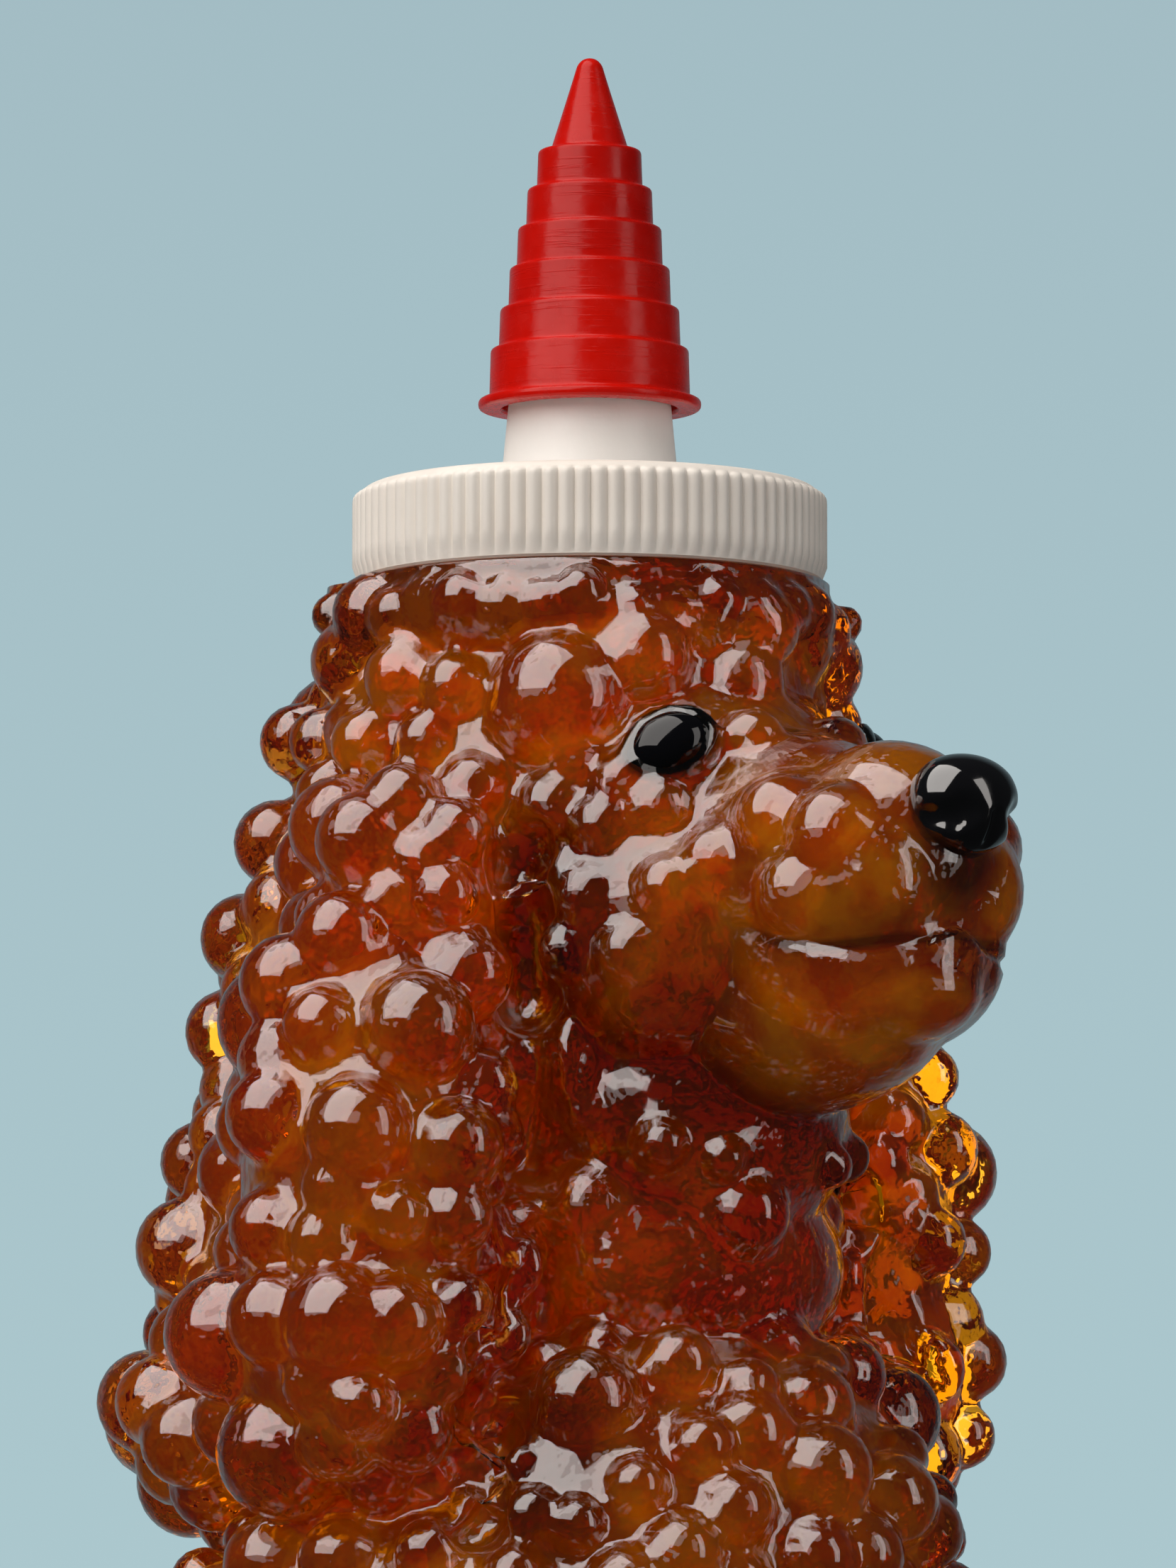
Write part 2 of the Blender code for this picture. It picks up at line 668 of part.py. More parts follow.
def make_collar():
    """A turned ring with a rounded shoulder, joined with its upright ribs."""
    core = collar_outer / 2 - rib_depth
    bore = collar_bore / 2
    hole = spout_root_outer / 2 + seat_gap
    under_lip = collar_top - collar_lip_thickness
    shoulder = arc(core - collar_shoulder, collar_top - collar_shoulder, collar_shoulder,
                   pi / 2, 0, arc_step_count)
    profile = [
        (hole, collar_top), *shoulder, (core, collar_bottom), (bore, collar_bottom),
        (bore, under_lip), (hole, under_lip),
    ]
    ring = add_object("screw_collar", turned_mesh("collar", profile, collar_step_count), parts, cream)
    bm = bmesh.new()
    foot = collar_bottom + rib_foot
    height = collar_top - collar_shoulder - rib_head - foot
    half_width = pi * collar_outer / rib_count * rib_width_share / 2
    for index in range(rib_count):
        turn = 2 * pi * index / rib_count
        place = Vector((core * cos(turn), core * sin(turn), foot + height / 2))
        size = Matrix.Diagonal((rib_depth, half_width, 1, 1))
        bmesh.ops.create_cone(
            bm, cap_ends=True, segments=4, radius1=1, radius2=1, depth=height,
            matrix=Matrix.Translation(place) @ Matrix.Rotation(turn, 4, "Z") @ size,
        )
    boolean(ring, add_cutter("ribs", mesh_from(bm, "ribs")), "UNION")
    evaluated_mesh(ring)
    return ring


def make_cap():
    """Six steps and a cone over a thin flange, with a stepped hollow of even wall."""
    flange = cap_foot_outer / 2 + cap_flange_lip
    outers = [(flange, cap_z), (flange, cap_z + cap_flange_thickness)]
    inners = []
    foot = cap_z + cap_flange_thickness
    inner_foot = cap_z
    for outer, height in zip(cap_step_outers, cap_step_heights):
        radius = outer / 2
        head = foot + height
        outers += [(radius, foot), (radius, head - cap_edge), (radius - cap_edge, head)]
        inners += [(radius - cap_wall, inner_foot), (radius - cap_wall, head - cap_wall)]
        foot, inner_foot = head, head - cap_wall
    cone, tip, core = [
        cap_foot_outer * share / 2
        for share in (cap_cone_outer_share, cap_tip_outer_share, cap_tip_core_share)
    ]
    top = foot + cap_cone_height
    outers += [(cone, foot), *arc(0, top - tip, tip, cone_lean, pi / 2, arc_step_count)]
    inners += [(cone - cap_wall, inner_foot), (core, top - tip - cap_wall),
               (0, top - tip - cap_wall)]
    outline = outers + inners[::-1]
    mesh = turned_mesh("cap", outline, cap_step_count)
    return add_object("spout_cap", mesh, parts, cap_red)


for old in list(bpy.data.objects):
    bpy.data.objects.remove(old)
parts = bpy.data.collections.new("dog_honey_bottle")
cutters = bpy.data.collections.new("cutters")
bpy.context.scene.collection.children.link(parts)
bpy.context.scene.collection.children.link(cutters)

clear_amber = material("clear_amber", (0.30, 0.075, 0.006), 0.08)
honey_amber = material("honey_amber", (0.42, 0.13, 0.010), 0.15)
black_gloss = material("black_gloss", (0.006, 0.006, 0.007), 0.08)
foam = material("foam", (0.75, 0.73, 0.68), 0.8)
warm_white = material("warm_white", (0.82, 0.75, 0.67), 0.38)
cream = material("cream", (0.74, 0.67, 0.58), 0.42)
cap_red = material("cap_red", (0.60, 0.012, 0.010), 0.32)

hollow = make_hollow()
make_bottle(hollow)
make_honey(hollow)
make_eyes()
make_nose()
make_liner()
make_spout()
make_collar()
make_cap()
for helper in list(cutters.objects):
    bpy.data.objects.remove(helper)
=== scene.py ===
# %% [markdown]
# # A honey bottle in the shape of a sitting poodle
#
# The bottle is moulded of clear plastic and full of honey, with a ribbed screw collar, a white
# spout and a red stepped cap. Each plain solid of the frame gets a finer piece here. Lengths are in
# metres, and the dog looks along -Y.

# %% Load the frame
import json
from math import atan2, cos, pi, radians, sin, sqrt, tan

import bmesh
import bpy
import numpy as np
from mathutils import Euler, Matrix, Vector

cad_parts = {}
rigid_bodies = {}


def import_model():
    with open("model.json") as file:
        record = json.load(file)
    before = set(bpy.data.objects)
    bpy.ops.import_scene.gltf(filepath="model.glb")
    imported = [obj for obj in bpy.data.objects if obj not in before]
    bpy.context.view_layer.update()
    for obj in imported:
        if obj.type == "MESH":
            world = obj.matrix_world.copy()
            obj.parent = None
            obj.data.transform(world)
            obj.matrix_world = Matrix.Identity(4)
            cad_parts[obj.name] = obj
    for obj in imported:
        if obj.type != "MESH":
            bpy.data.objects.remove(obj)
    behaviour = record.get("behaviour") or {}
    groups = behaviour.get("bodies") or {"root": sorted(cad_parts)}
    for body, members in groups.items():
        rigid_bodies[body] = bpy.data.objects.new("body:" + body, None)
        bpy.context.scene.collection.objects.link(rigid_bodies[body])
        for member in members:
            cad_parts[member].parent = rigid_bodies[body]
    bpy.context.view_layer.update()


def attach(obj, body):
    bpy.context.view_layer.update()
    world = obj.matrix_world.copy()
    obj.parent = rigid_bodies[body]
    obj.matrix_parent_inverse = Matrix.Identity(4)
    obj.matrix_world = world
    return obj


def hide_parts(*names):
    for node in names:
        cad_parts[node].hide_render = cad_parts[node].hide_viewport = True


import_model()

# %% [markdown]
# ## The camera
#
# The photograph looks slightly up at the dog's head from its right front, through a long lens.
# The camera's turn comes from the line of sight, so it looks straight at its target.

# %% Set the camera


def new_object(name, data):
    """Adds an object to the scene."""
    made = bpy.data.objects.new(name, data)
    bpy.context.scene.collection.objects.link(made)
    return made


body_height = 0.157
target_drop = 0.0165
view_turn = radians(-43)
view_tilt = radians(-6.2)
view_distance = 1.005
view_angle = radians(7.5)
target = Vector((0, 0, body_height - target_drop))
toward_camera = Vector((
    sin(view_turn) * cos(view_tilt), -cos(view_turn) * cos(view_tilt), sin(view_tilt)
))
camera = new_object("camera", bpy.data.cameras.new("camera"))
camera.location = target + toward_camera * view_distance
camera.rotation_euler = toward_camera.to_track_quat("Z", "Y").to_euler()
camera.data.lens = camera.data.sensor_width / 2 / tan(view_angle / 2)
camera.data.shift_x = -0.0011
bpy.context.scene.camera = camera
bpy.context.scene.view_settings.view_transform = "Standard"
print("camera at", [round(value, 3) for value in camera.location])

# %% [markdown]
# ## Helpers for modelling
#
# Operators act on whatever is selected, so each step first clears the selection and then picks
# what it needs by its place.

# %% Select and edit


def nothing_selected():
    if bpy.context.mode != "OBJECT":
        bpy.ops.object.mode_set(mode="OBJECT")
    bpy.ops.object.select_all(action="DESELECT")


def only(piece):
    nothing_selected()
    piece.select_set(True)
    bpy.context.view_layer.objects.active = piece


def edit(piece, mode="VERT"):
    only(piece)
    bpy.ops.object.mode_set(mode="EDIT")
    bpy.ops.mesh.select_mode(type=mode)
    bpy.ops.mesh.select_all(action="DESELECT")


def select_where(rule):
    """In edit mode, selects the vertices whose place meets the rule, and no others."""
    bm = bmesh.from_edit_mesh(bpy.context.edit_object.data)
    for element in (*bm.faces, *bm.edges, *bm.verts):
        element.select = False
    for vert in bm.verts:
        vert.select = bool(rule(vert.co))
    bm.select_flush(True)
    bmesh.update_edit_mesh(bpy.context.edit_object.data)


def leave_edit():
    bpy.ops.object.mode_set(mode="OBJECT")


def face_outward():
    """Leaves edit mode with every face of the piece turned outward."""
    bpy.ops.mesh.select_all(action="SELECT")
    bpy.ops.mesh.normals_make_consistent(inside=False)
    leave_edit()


def scale_by(across, forward, up, centre=(0, 0, 0)):
    """In edit mode, scales what is selected about that centre."""
    bpy.ops.transform.resize(value=(across, forward, up), center_override=centre)


def apply_all(piece):
    only(piece)
    for modifier in list(piece.modifiers):
        bpy.ops.object.modifier_apply(modifier=modifier.name)


def finish_piece(piece, name, body, finish, stands_for=()):
    """Names the piece, gives it its finish, and makes it ride with its part of the bottle."""
    nothing_selected()
    piece.name = piece.data.name = name
    piece.data.materials.clear()
    piece.data.materials.append(finish)
    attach(piece, body)
    if stands_for:
        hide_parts(*stands_for)
    spots = [vert.co * 1000 for vert in piece.data.vertices]
    low, high = (
        [round(end(spot[axis] for spot in spots), 1) for axis in range(3)] for end in (min, max)
    )
    print(name, "has", len(piece.data.polygons), "faces, from", low, "to", high, "mm")


# %% [markdown]
# ## The dog's forms
#
# A moulded dog like this is first blocked out in clay: an egg for the skull, a smaller one for the
# muzzle, long lobes for the ears. Here each form is an ellipsoid, given by its place and its half
# sizes as shares of the dog's own width, reach and height. A form off the middle comes in a pair.

# %% Block out the dog
body_half_width = 0.040
nose_reach = 0.0485
plain_forms = {
    "skull": ((0.0, 0.165, 0.847), (0.46, 0.42, 0.115)),
    "muzzle_root": ((0.0, 0.495, 0.841), (0.285, 0.289, 0.069)),
    "muzzle_tip": ((0.0, 0.742, 0.841), (0.22, 0.190, 0.0586)),
    "chin": ((0.0, 0.768, 0.7675), (0.155, 0.144, 0.0287)),
    "jaw": ((0.0, 0.515, 0.761), (0.25, 0.309, 0.0541)),
    "throat": ((0.0, 0.247, 0.713), (0.35, 0.268, 0.0892)),
    "shoulder": ((0.0, 0.0, 0.983), (0.522, 0.430, 0.020)),
    "flew": ((0.125, 0.763, 0.8217), (0.1475, 0.154, 0.0425)),
    "muzzle_side": ((0.13, 0.60, 0.831), (0.165, 0.230, 0.0560)),
    "cheek": ((0.20, 0.330, 0.806), (0.225, 0.247, 0.0790)),
    "hind_paw": ((0.64, 0.37, 0.0446), (0.225, 0.289, 0.0573)),
    "front_paw": ((0.3125, 0.68, 0.0382), (0.2125, 0.227, 0.0478)),
}
curly_forms = {
    "head_hair": ((0.0, -0.052, 0.892), (0.575, 0.464, 0.153)),
    "fringe": ((0.0, 0.062, 0.930), (0.475, 0.381, 0.1146)),
    "nape": ((0.0, -0.165, 0.771), (0.6375, 0.485, 0.166)),
    "neck": ((0.0, -0.165, 0.669), (0.625, 0.515, 0.191)),
    "mane": ((0.0, -0.289, 0.618), (0.70, 0.515, 0.191)),
    "mane_hem": ((0.0, -0.258, 0.554), (0.80, 0.577, 0.070)),
    "chest": ((0.0, 0.206, 0.478), (0.65, 0.412, 0.140)),
    "torso": ((0.0, -0.021, 0.331), (0.925, 0.742, 0.2675)),
    "base": ((0.0, 0.041, 0.108), (0.875, 0.742, 0.166)),
    "tail": ((0.0, -0.763, 0.2357), (0.2375, 0.196, 0.0605)),
    "ear_root": ((0.54, 0.041, 0.815), (0.22, 0.206, 0.0764)),
    "ear_lobe": ((0.65, 0.031, 0.669), (0.275, 0.258, 0.159)),
    "ear_end": ((0.675, 0.031, 0.592), (0.2875, 0.268, 0.086)),
    "haunch": ((0.55, -0.165, 0.185), (0.425, 0.536, 0.172)),
    "front_leg": ((0.3, 0.495, 0.223), (0.2375, 0.196, 0.191)),
}
hair_inset = 0.0009


def form(shares, side=1, inset=0.0):
    """The centre and the half sizes of a form, on the dog's left side or, for -1, on its right."""
    (across, forward, up), (half_across, half_forward, half_up) = shares
    place = Vector((side * across * body_half_width, -forward * nose_reach, up * body_height))
    halves = Vector((
        half_across * body_half_width, half_forward * nose_reach, half_up * body_height
    ))
    return place, halves - Vector((inset, inset, inset))


forms = {}
for kind, inset in ((plain_forms, 0.0), (curly_forms, hair_inset)):
    for name, shares in kind.items():
        if shares[0][0]:
            forms[name + "_right"] = form(shares, -1, inset)
            forms[name + "_left"] = form(shares, 1, inset)
        else:
            forms[name] = form(shares, 1, inset)
print("forms:", len(forms))

# %% [markdown]
# ## Where the curls go
#
# The coat is a skin of round curls. Those that the photograph shows are listed one by one: how far
# right of the neck's axis and below the collar, in thousandths of the dog's half width and height,
# and how large, in hundredths of a plain curl. Each is set where its line of sight meets the dog.
# The rest are spread evenly over each form on a spiral, as seeds fill a sunflower.

# %% Place the curls
curl_radius = 0.0042
curl_spacing = 0.0072
curl_swing = 0.28
curl_stray = 0.50
crowding = 0.74
collar_bottom = 0.1574
lift_share = 0.0153
face_front = 0.30 * nose_reach
face_low, face_high = 0.66 * body_height, 0.145
seen_curls = [
    # Crown
    (-543, 32, 43), (-453, 34, 79), (-276, 33, 64), (-198, 33, 40), (-498, 57, 83), (-386, 66, 79),
    (-281, 71, 64), (-626, 100, 74), (-566, 100, 64), (-468, 102, 69), (-341, 100, 57),
    (-63, 78, 131), (-146, 85, 62), (110, 55, 89), (-18, 20, 45), (350, 40, 82), (485, 60, 86),
    (240, 36, 60), (549, 37, 36), (335, 99, 62), (-108, 34, 57),
    # Near ear
    (-386, 131, 74), (-240, 125, 66), (-543, 129, 69), (-468, 152, 93), (-566, 165, 89),
    (-273, 148, 69), (-296, 181, 60), (-161, 183, 42), (-686, 150, 83), (-731, 206, 86),
    (-513, 202, 86), (-251, 223, 89), (-348, 249, 107), (-551, 249, 74), (-783, 257, 81),
    (-731, 288, 86), (-768, 311, 71), (-476, 303, 100), (-266, 312, 86), (-648, 225, 64),
    (-513, 333, 71), (-198, 343, 69), (-266, 349, 71), (-851, 372, 97), (-930, 376, 45),
    (-656, 356, 79), (-543, 361, 69), (-393, 347, 57), (-648, 402, 89), (-513, 402, 103),
    (-393, 403, 86), (-258, 395, 66), (-236, 429, 51), (-176, 421, 30), (-896, 452, 89),
    (-731, 461, 86), (-551, 435, 71), (-513, 465, 79), (-360, 461, 79), (-266, 456, 40),
    # Chest and back below the ear
    (-513, 528, 79), (-326, 523, 69), (-873, 536, 64), (-693, 523, 64), (-3, 347, 93),
    (320, 351, 86), (275, 320, 42), (485, 356, 79), (5, 404, 69), (177, 427, 79), (-11, 444, 103),
    (320, 400, 69), (327, 439, 60), (447, 408, 83), (590, 429, 71), (477, 433, 60),
    (477, 484, 100), (635, 479, 64), (297, 500, 71), (185, 523, 79), (95, 488, 57), (462, 528, 79),
    (687, 519, 83), (-26, 507, 54), (-120, 502, 54), (-153, 532, 57), (147, 312, 50),
    (-18, 295, 40),
    # Far ear
    (605, 328, 64), (747, 321, 74), (725, 371, 69), (804, 379, 66), (717, 439, 71), (810, 437, 74),
    (822, 482, 63), (717, 282, 64),
]


def on_ray(start, stray):
    """Where the line of sight from this point meets the dog, or passes it closest."""
    hits, misses = [], []
    for place, halves in forms.values():
        here = Vector([(start[i] - place[i]) / halves[i] for i in range(3)])
        step = Vector([toward_camera[i] / halves[i] for i in range(3)])
        middle = -here.dot(step) / step.dot(step)
        nearest = (here + step * middle).length
        if nearest < 1:
            hits.append(middle + sqrt(1 - nearest * nearest) / step.length)
        else:
            out = start + toward_camera * middle - place
            reach = min(nearest, 1 + stray / max(halves)) / nearest
            misses.append((nearest, place + out * reach))
    return start + toward_camera * max(hits) if hits else min(misses)[1]


def clear_of(centre, radius):
    return all((centre - spot).length > crowding * (radius + other) for spot, other in curls)


def depth_in(point, place, halves):
    """Below one inside the ellipsoid, one on it, above one outside."""
    return sum(((point[i] - place[i]) / halves[i]) ** 2 for i in range(3))


mirror = Vector((-1, 1, 1))
across_view = Vector((cos(view_turn), sin(view_turn), 0)) * body_half_width


def in_photograph(right, down, nearer=Vector((0, 0, 0))):
    """The point on the plane through the neck's axis that the photograph shows at that place."""
    start = across_view * (right / 1000) + nearer
    start.z += collar_bottom + (lift_share - down / 1000) * body_height
    return start


curls = []
for right, down, size in seen_curls:
    radius = size / 100 * curl_radius
    curls.append((on_ray(in_photograph(right, down), radius * curl_stray), radius))
for centre, radius in list(curls):
    if clear_of(centre * mirror, radius):
        curls.append((centre * mirror, radius))


def on_spiral(name, spacing):
    """Even places over one form, with the turn of each, where the coat shows."""
    place, halves = forms[name]
    mean = sum(halves) / 3
    count = int(4 * pi * mean * mean / spacing ** 2)
    for index in range(count):
        height = 1 - 2 * (index + 0.5) / count
        turn = pi * (3 - sqrt(5)) * index
        ring = sqrt(1 - height * height)
        way = Vector((ring * cos(turn), ring * sin(turn), height))
        spot = place + Vector([way[axis] * halves[axis] for axis in range(3)])
        hidden = any(depth_in(spot, *other) < 1 for key, other in forms.items() if key != name)
        on_face = -spot.y > face_front and face_low < spot.z < face_high
        if not (hidden or on_face or spot.x < 0 or spot.z > body_height):
            yield spot, turn + count


coat = [name if name in forms else name + "_left" for name in curly_forms]
for name in coat:
    for centre, turn in on_spiral(name, curl_spacing):
        radius = curl_radius * (1 + curl_swing * sin(turn))
        if abs(centre.x) < radius / 2:
            centre.x = 0
        for twin in (centre, centre * mirror):
            if centre.z > radius and clear_of(twin, radius):
                curls.append((twin, radius))
print("curls:", len(curls))

# %% [markdown]
# Between the large curls the coat has small ones, which fill every hollow that is wide enough. They
# are laid out in the same way, closer together, and kept where no large curl covers them.

# %% Fill the hollows with small curls
small_radius = 0.0030
small_spacing = 0.0044
small_free, small_apart, small_sunk = 0.35, 0.85, 0.35
small_curls = []
for name in coat:
    for centre, turn in on_spiral(name, small_spacing):
        radius = small_radius * (1 + curl_swing * sin(2 * turn))
        for twin in (centre, centre * mirror):
            free = all((twin - spot).length > other + radius * small_free for spot, other in curls)
            apart = all(
                (twin - spot).length > (radius + other) * small_apart for spot, other in small_curls
            )
            if centre.z > radius and free and apart:
                sunk = (twin - forms[name][0]).normalized() * radius * small_sunk
                small_curls.append((twin - sunk, radius))
print("small curls:", len(small_curls))

# %% [markdown]
# ## Melting the forms together
#
# Modelling clay is pressed together until no joint shows. Voxel Remesh does this: it fills every
# form and curl with small cubes and wraps one skin round them. One curl is modelled and copied to
# every place, a little wider and deeper than it was set. Eggs fill out the lower lip and the
# throat, and a disc with two rings of small curls closes the head under the collar.

# %% Model one curl and one egg, and copy them


def ball(subdivisions):
    nothing_selected()
    bpy.ops.mesh.primitive_ico_sphere_add(subdivisions=subdivisions, radius=1)
    return bpy.context.object


def copy_of(model, matrix):
    """A copy with its own mesh, moved and scaled in its mesh."""
    mesh = model.data.copy()
    mesh.transform(matrix)
    return new_object(model.name, mesh)


def placed(place, halves, turn=Matrix.Identity(4)):
    return Matrix.Translation(place) @ turn @ Matrix.Diagonal((*halves, 1))


egg, curl = ball(4), ball(3)
clay = [copy_of(egg, placed(place, halves)) for place, halves in forms.values()]
curl_spread = 0.08


def inward(point):
    """The way from a point into the form that holds it most deeply."""
    place, halves = min(forms.values(), key=lambda egg: depth_in(point, *egg))
    slope = Vector([(point[axis] - place[axis]) / halves[axis] ** 2 for axis in range(3)])
    return -slope.normalized()


def add_curl(centre, radius):
    clay.append(copy_of(curl, placed(centre, (radius,) * 3)))


def add_rim_curl(turn, across, forward, height, radius):
    add_curl((across * sin(turn), -forward * cos(turn), height), radius)


for centre, radius in curls + small_curls:
    deeper = centre + inward(centre) * radius * curl_spread
    add_curl(deeper, radius * (1 + curl_spread))
rim_curl_count = 17
rim_radius, rim_depth, rim_z = 0.0202, 0.008, 0.1545
for step in range(rim_curl_count):
    turn = 2 * pi * step / rim_curl_count
    out = 0.0191 + 0.0004 * sin(5 * turn)
    low_z, low_radius = 0.1531 + 0.0007 * sin(3 * turn), 0.0030 + 0.0004 * cos(4 * turn)
    add_rim_curl(turn, out, out, low_z, low_radius)
    turn += pi / rim_curl_count
    high_z, high_radius = 0.1534 + 0.0006 * cos(5 * turn), 0.0024 + 0.0003 * sin(3 * turn)
    add_rim_curl(turn, rim_radius, 0.0198, high_z, high_radius)
side_lip = ((0.10, 0.68, 0.788), (0.172, 0.212, 0.050))
front_lip = ((0.0, 0.725, 0.786), (0.20, 0.190, 0.050))
throat_fill = ((0.0, 0.265, 0.632), (0.37, 0.190, 0.062))
for shares, side in ((side_lip, -1), (side_lip, 1), (front_lip, 1), (throat_fill, 1)):
    clay.append(copy_of(egg, placed(*form(shares, side))))
bpy.ops.mesh.primitive_cylinder_add(
    vertices=96, radius=rim_radius, depth=rim_depth, location=(0, 0, rim_z)
)
rim = bpy.context.object
rim.data.transform(rim.matrix_world)
rim.matrix_world = Matrix.Identity(4)
clay.append(rim)

# %% [markdown]
# ## The eyes' lids and the soft folds of the face
#
# Round each eye the plastic swells into a lid, a slightly larger egg than the eye itself. The
# cheek and lip have low folds: balls that sit so deep in the face that only their caps show.

# %% Add lids and folds
eye_halves = Vector((0.0037, 0.0019, 0.0026))
eye_place = (0.2875, 0.4515, 0.900)
eye_turn, eye_lift, eye_slant = radians(46), radians(12), radians(24)
lid_grow = Vector((0.0007, -0.0007, 0.0007))


def eye_matrix(side, grow=Vector((0, 0, 0))):
    """The place, turn and half sizes of an eye, or of an egg that is larger by so much."""
    place, _ = form((eye_place, (0, 0, 0)), side)
    turn, lift, slant = (
        Euler(angles).to_matrix().to_4x4()
        for angles in ((0, 0, side * eye_turn), (-eye_lift, 0, 0), (0, side * eye_slant, 0))
    )
    return placed(place, eye_halves + grow, turn @ lift @ slant)


clay += [copy_of(egg, eye_matrix(side, lid_grow)) for side in (-1, 1)]
fold_proud = 0.0015
face_folds = [
    (27, 146, 30), (140, 137, 32), (260, 165, 34), (387, 141, 38), (500, 150, 44), (432, 180, 40),
    (160, 178, 30), (0, 182, 32), (-75, 135, 32), (-65, 170, 34), (80, 212, 28), (-40, 210, 30),
    (-20, 113, 28), (-100, 100, 34), (65, 122, 26),
]
for right, down, tenths in face_folds:
    radius = tenths / 10000
    centre = on_ray(in_photograph(right, down), 0) - toward_camera * (radius - fold_proud)
    add_curl(centre * mirror, radius)
    add_curl(centre, radius)

# %% Melt it into one skin
skin_grain = 0.00048
skin_triangles = 176000


def soften(piece, rounds):
    """Draws every point toward the middle of its neighbours, that many times."""
    smooth = piece.modifiers.new("soften", "SMOOTH")
    smooth.iterations = rounds
    smooth.factor = 0.5
    apply_all(piece)


def melted(lumps, grain, rounds):
    """Joins the lumps, wraps one skin of small cubes round them all and softens it."""
    nothing_selected()
    for lump in lumps:
        lump.select_set(True)
    bpy.context.view_layer.objects.active = lumps[0]
    bpy.ops.object.join()
    remesh = lumps[0].modifiers.new("melt", "REMESH")
    remesh.mode = "VOXEL"
    remesh.voxel_size = grain
    soften(lumps[0], rounds)
    return lumps[0]


dog = melted(clay, skin_grain, 5)
for model in (egg, curl):
    bpy.data.objects.remove(model)
print("the melted skin has", len(dog.data.polygons), "faces")

# %% [markdown]
# ## The line of the mouth and the valley behind the cheek
#
# The lips meet in a narrow groove that rises at its front end, and a wide valley parts the ear from
# the cheek and chest. Every point of the skin near a line is pushed in a little, most on the line
# itself, as a thumbnail does in clay.

# %% Press in the mouth and the valleys
mouth_half_width, mouth_depth = 0.0008, 0.0005
valley_half_width, valley_depth = 0.0038, 0.0030
ear_front_points = [
    (-130.5, 160), (-130.5, 198), (-130.5, 236), (-126, 274), (-130.5, 312.5), (-145.5, 351),
    (-175.5, 389), (-190, 427), (-213, 465), (-228, 503.5),
]
mouth_points = [
    (300, 198.5), (365, 200), (470, 206), (575, 211), (635, 207), (687, 202), (745, 195),
]


def traced(points):
    """Where the lines of sight through these places meet the skin."""
    line = []
    for right, down in points:
        start = in_photograph(right, down, toward_camera * nose_reach * 2)
        met, spot, _, _ = dog.ray_cast(start, -toward_camera)
        if met:
            line.append(spot)
    return np.array(line)


def pull_in(mesh, line, half_width, depth):
    """Pushes the points near a line of places inward, deepest on the line itself."""
    count = len(mesh.vertices)
    spots = np.empty(count * 3)
    normals = np.empty(count * 3)
    mesh.vertices.foreach_get("co", spots)
    mesh.vertices.foreach_get("normal", normals)
    spots, normals = spots.reshape(-1, 3), normals.reshape(-1, 3)
    away = np.full(count, np.inf)
    for first, last in zip(line[:-1], line[1:]):
        along = last - first
        share = np.clip(((spots - first) @ along) / (along @ along), 0, 1)
        away = np.minimum(away, np.linalg.norm(spots - first - share[:, None] * along, axis=1))
    press = np.clip(1 - (away / half_width) ** 2, 0, None) ** 2
    spots -= normals * (press * depth)[:, None]
    mesh.vertices.foreach_set("co", spots.reshape(-1))
    mesh.update()


mouth = traced(mouth_points)
ear_front = traced(ear_front_points)
for side in (1, -1):
    pull_in(dog.data, ear_front * (side, 1, 1), valley_half_width, valley_depth)
    pull_in(dog.data, mouth * (side, 1, 1), mouth_half_width, mouth_depth)

# %% Thin the skin
touching, same_point, same_row, same_level = 1e-7, 0.000005, 0.000002, 1e-5
thin = dog.modifiers.new("thin", "DECIMATE")
thin.ratio = min(1.0, skin_triangles / (2 * len(dog.data.polygons)))
apply_all(dog)


def keep_outer_skin(piece):
    """Keeps what hangs together with the outermost point, and no specks or closed pockets."""
    edge = max(vert.co.x for vert in piece.data.vertices) - touching
    edit(piece)
    select_where(lambda spot: spot.x > edge)
    bpy.ops.mesh.select_linked()
    bpy.ops.mesh.select_all(action="INVERT")
    bpy.ops.mesh.delete(type="VERT")
    leave_edit()


keep_outer_skin(dog)
print("the thinned skin has", len(dog.data.polygons), "faces")

# %% [markdown]
# ## Neck and foot
#
# The head is cut level under the collar and the foot level with the table. A circle is added, the
# space between it and the cut edge is filled, and the circle is raised ring by ring: up the neck,
# over its lip and down the bore, and at the foot into a shallow dome, so it stands on its rim.

# %% Cut the head and the foot level
cut_z = body_height + 0.00015


def cut_level(piece, height, up):
    edit(piece)
    bpy.ops.mesh.select_all(action="SELECT")
    bpy.ops.mesh.bisect(
        plane_co=(0, 0, height), plane_no=(0, 0, up), clear_outer=True, threshold=touching
    )
    scale_by(1, 1, 0, (0, 0, height))
    leave_edit()


def raise_rings(sides, rings, closed=False):
    """In edit mode, adds a circle at the first (radius, height) and extrudes it on through all."""
    radius, height = rings[0]
    bpy.ops.mesh.primitive_circle_add(vertices=sides, radius=radius, location=(0, 0, height))
    for radius_now, height_now in rings[1:]:
        bpy.ops.mesh.extrude_edges_move(
            TRANSFORM_OT_translate={"value": (0, 0, height_now - height)}
        )
        share = radius_now / radius
        scale_by(share, share, 1, (0, 0, height_now))
        radius, height = radius_now, height_now
    if closed:
        bpy.ops.mesh.merge(type="CENTER")


def bridge_to_rim(height):
    """In edit mode, fills the level space between the cut edge and the circle at that height."""
    bm = bmesh.from_edit_mesh(bpy.context.edit_object.data)
    for element in (*bm.faces, *bm.verts):
        element.select = False
    for edge in bm.edges:
        level = all(abs(vert.co.z - height) < same_level for vert in edge.verts)
        edge.select = edge.is_boundary and level
    bmesh.update_edit_mesh(bpy.context.edit_object.data)
    bpy.ops.mesh.fill(use_beauty=True)


